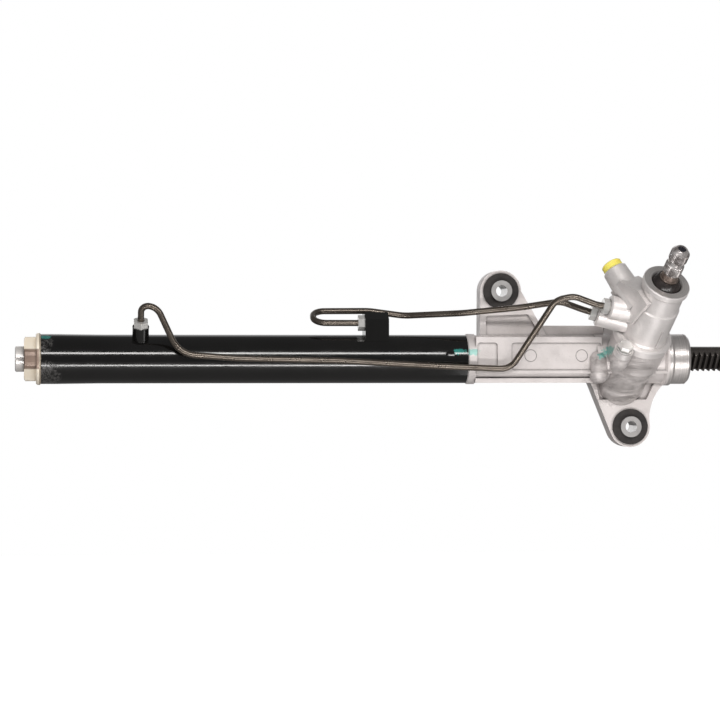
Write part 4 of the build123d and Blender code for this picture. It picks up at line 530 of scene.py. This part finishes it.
def end_nut_metal():
    """Warm zinc plate with painted shade, dark brown, on the foremost face, and a paint mark on
    the flange.
    """
    look = Look("zinc_plate_warm")
    cloud = look.noise(70.0, detail=4.0)
    # Painted shade: the foremost face, within that height of the axis, is dark brown
    beside = look.step_up(look.maths("ABSOLUTE", look.axis("Z")), END_NUT_SHADED_FACE_Z, width=0.0006)
    flange = look.step_up(look.axis("X"), END_NUT_FLANGE_X)
    colour = look.mix(look.maths("MAXIMUM", beside, flange),
                      look.shades(cloud, "warm_zinc_shaded_face"), look.shades(cloud, "warm_zinc"))
    colour = look.mix(flange, colour, look.shades(cloud, "warm_zinc_flange"))
    colour = look.mix(look.near(END_NUT_MARK), colour, MARK_ON_NUT)
    rough = look.remap(look.noise(160.0), low=0.34, high=0.44)
    normal = look.bump(look.noise(380.0, detail=2.0), strength=0.05, distance=0.0002)
    return look.set(Base_Color=colour, Roughness=rough, Normal=normal, Metallic=0.2)


def rack_metal():
    """Ground steel, pale and matt at the left end and dark with oil from there on."""
    look = Look("rack_ground_steel")
    oiled = look.remap(look.axis("X"), start=RACK_PALE_X, end=RACK_OILED_X)
    cloud = look.noise(70.0, detail=5.0)
    colour = look.mix(oiled, look.shades(cloud, "rack_pale"), look.shades(cloud, "rack_oiled"))
    # Painted shade in the gaps between the teeth and other corners
    colour = look.mix(look.painted_corner_shade(0.003, most=0.75), colour, RACK_CORNER_SHADE)
    rough = look.remap(look.noise(500.0, roughness=0.6, stretch=ALONG_X), low=0.17, high=0.28)
    matt = look.remap(oiled, low=0.14, high=0.0, start=0.0, end=1.0)
    rough = look.maths("ADD", rough, matt)
    lines = look.noise(900.0, roughness=0.6, stretch=ALONG_X)
    normal = look.bump(lines, strength=0.10, distance=0.0002)
    metallic = look.remap(oiled, low=0.5, high=0.9, start=0.0, end=1.0)
    return look.set(Base_Color=colour, Roughness=rough, Normal=normal, Metallic=metallic)


def shaft_metal():
    """Bright serrated steel with painted shade in the roots and a browned plain neck."""
    look = Look("input_shaft_steel")
    cloud = look.noise(150.0, detail=4.0)
    serrated = look.step_up(look.pinion_height(), SERRATIONS_S, width=0.0006)
    colour = look.mix(serrated, look.shades(cloud, "shaft_neck"),
                      look.ramp(cloud, SERRATION_STOPS))
    # Painted shade in the serrations' roots
    colour = look.mix(look.painted_corner_shade(0.0012, most=0.92), colour, SHAFT_CORNER_SHADE)
    rough = look.remap(look.noise(260.0), low=0.20, high=0.32)
    return look.set(Base_Color=colour, Roughness=rough, Metallic=0.8)


def rubber(name, finish):
    look = Look(name)
    colour = look.shades(look.noise(80.0, detail=5.0), finish)
    grain = look.noise(1200.0, detail=4.0, roughness=0.7)
    normal = look.bump(grain, strength=0.25, distance=0.0003)
    rough = look.remap(look.noise(240.0), low=0.55, high=0.72)
    return look.set(Base_Color=colour, Roughness=rough, Normal=normal)


def boot_rubber():
    """Dark, oiled and slightly brown rubber of the input shaft's seal."""
    look = Look("boot_rubber_oiled")
    colour = look.shades(look.noise(90.0, detail=4.0), "boot_rubber")
    normal = look.bump(look.noise(700.0), strength=0.12, distance=0.0002)
    rough = look.remap(look.noise(140.0), low=0.20, high=0.34)
    return look.set(Base_Color=colour, Roughness=rough, Normal=normal)


def plastic(name, finish, rough, **further):
    """Moulded plastic, with further values for the shader's sockets."""
    look = Look(name)
    colour = look.shades(look.noise(60.0, detail=4.0), finish)
    normal = look.bump(look.noise(500.0), strength=0.08, distance=0.0003)
    roughness = look.remap(look.noise(150.0), low=rough - 0.06, high=rough + 0.06)
    return look.set(Base_Color=colour, Roughness=roughness, Normal=normal, **further)


def make_looks():
    return {
        "cylinder_paint": black_paint(),
        "cast_aluminium": gear_housing_metal(),
        "valve_aluminium": valve_housing_metal(),
        "rack_steel": rack_metal(),
        "machined_steel": steel("machined_steel_turned", "machined_steel", rough=0.27),
        "zinc_yellow_steel": end_nut_metal(),
        "zinc_steel": zinc("zinc_plate_silver", "silver_zinc"),
        "line_steel": line_metal(),
        "bearing_steel": steel("bearing_steel_polished", "bearing_steel", rough=0.14,
                               stretch=ROUND_X, strength=0.04),
        # The bush sleeves get painted shade reaching 7.5 mm from their corners, into their bores
        "bush_sleeve_steel": zinc("bush_sleeve_plain", "bush_sleeve", reach=0.0075),
        "bush_rubber": rubber("bush_rubber_matt", "bush_rubber"),
        "seal_rubber": rubber("seal_rubber_matt", "seal_rubber"),
        "ring_plastic": plastic("ring_plastic_filled", "ring_plastic", rough=0.4),
        "bearing_bronze": steel("bronze_sintered", "bronze", rough=0.45, strength=0.2),
        "cage_plastic": plastic("cage_plastic_natural", "cage_plastic", rough=0.45),
        "cap_plastic": plastic("cap_plastic_yellow", "cap_plastic", rough=0.28, **CAP_SUBSURFACE),
        "boot_rubber": boot_rubber(),
        "shaft_steel": shaft_metal(),
        "spring_steel": steel("spring_steel_blued", "spring_steel", rough=0.3),
    }


# The input shaft with its serrations, in millimetres: a row has its height up the pinion's
# axis, its radius and how that radius changes around the axis

MM = 0.001
SHAFT_TEETH = 36
STEPS_PER_TOOTH = 4
TOOTH_DEPTH = 0.55
SHAFT_BORE = 4.03
PIN_S = 149.0
PIN_HOLE_R = 2.03
PIN_END_R = 7.9
STUB_R = 7.9
STUB_FLAT = 6.0
ROTOR_R = 11.0
ROTOR_SLOTS = 6
SLOT_DEPTH = 1.0
SLOT_HALF_W = 1.7
BODY_R = 9.0
NECK_R = 8.1
SERRATION_R = 8.9
WAIST_R = 7.6
TIP_R = 5.3
PIN_ROWS_FROM = 146.6
PIN_ROW_STEP = 0.24
PIN_ROWS = 21
SHAFT_ROWS = [
    (39.5, STUB_R, "stub"), (48.8, STUB_R, "stub"),
    (48.8, ROTOR_R, "plain"), (54.4, ROTOR_R, "plain"),
    (54.6, ROTOR_R, "slots"), (72.4, ROTOR_R, "slots"),
    (72.6, ROTOR_R, "plain"), (78.5, ROTOR_R, "plain"),
    (78.5, BODY_R, "plain"), (121.0, BODY_R, "plain"),
    (122.0, NECK_R, "plain"), (128.0, NECK_R, "plain"), (128.5, 8.4, "plain"),
    (129.0, SERRATION_R, "teeth"), (138.3, SERRATION_R, "teeth"), (138.9, 8.3, "plain"),
    (139.7, WAIST_R, "plain"), (143.3, WAIST_R, "plain"), (144.1, 8.3, "plain"),
    (144.6, SERRATION_R, "teeth"),
]
SHAFT_ROWS += [
    (PIN_ROWS_FROM + PIN_ROW_STEP * k, SERRATION_R, "teeth") for k in range(PIN_ROWS)]
SHAFT_ROWS += [
    (153.4, SERRATION_R, "teeth"), (153.9, 8.6, "plain"), (157.3, 5.68, "plain"),
    (157.6, TIP_R, "plain"),
]


def shaft_point(s, radius, kind, step):
    """Point of a row, with the stub's flats, the rotor's slots or the teeth and pin's ends."""
    angle = 2 * math.pi * step / (SHAFT_TEETH * STEPS_PER_TOOTH)
    across = radius * math.sin(angle)
    if kind == "stub":
        radius = min(radius, STUB_FLAT / max(abs(math.sin(angle)), 1e-6))
    elif kind == "slots":
        half_pitch = math.pi / ROTOR_SLOTS
        off = (angle + half_pitch) % (2 * half_pitch) - half_pitch
        if abs(radius * math.sin(off)) < SLOT_HALF_W:
            radius -= SLOT_DEPTH
    elif kind == "teeth":
        half_tooth = STEPS_PER_TOOTH / 2
        radius -= TOOTH_DEPTH * abs(step % STEPS_PER_TOOTH - half_tooth) / half_tooth
        if math.hypot(across, s - PIN_S) < PIN_HOLE_R:
            radius = PIN_END_R
    return Vector((radius * math.cos(angle), radius * math.sin(angle), s)) * MM


def make_input_shaft(material):
    """Turned shaft with two serrated stretches, closed by its bore."""
    count = SHAFT_TEETH * STEPS_PER_TOOTH
    top, bottom = SHAFT_ROWS[-1][0], SHAFT_ROWS[0][0]
    rows = SHAFT_ROWS + [(top, SHAFT_BORE, "plain"), (bottom, SHAFT_BORE, "plain")]
    mesh = bpy.data.meshes.new("input_shaft_serrated")
    build = bmesh.new()
    rings = [[build.verts.new(shaft_point(*row, step)) for step in range(count)] for row in rows]
    for low, high in zip(rings, rings[1:] + rings[:1]):
        for k in range(count):
            after = (k + 1) % count
            build.faces.new((low[k], low[after], high[after], high[k]))
    bmesh.ops.recalc_face_normals(build, faces=build.faces)
    build.to_mesh(mesh)
    build.free()
    mesh.transform(PINION_MATRIX)
    mesh.materials.append(material)
    shaft = bpy.data.objects.new("input_shaft_serrated", mesh)
    bpy.context.scene.collection.objects.link(shaft)
    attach(shaft, "input_shaft")
    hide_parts("input_shaft")


def dress_nodes(looks):
    """Gives each node its slot's material; the seal about the input shaft has its own."""
    for entry in frame["record"]["subparts"]:
        node = NODES[entry["node"]]
        material = looks["boot_rubber" if entry["node"] == "dust_seal" else entry["material_slot"]]
        if not node.material_slots:
            node.data.materials.append(material)
        for holder in node.material_slots:
            holder.material = material


make_camera()
make_world()
make_floor()
for name, values in SOFTBOXES.items():
    make_softbox(name, **values)
LOOKS = make_looks()
dress_nodes(LOOKS)
make_input_shaft(LOOKS["shaft_steel"])

scene = bpy.context.scene
scene.view_settings.view_transform = "Standard"
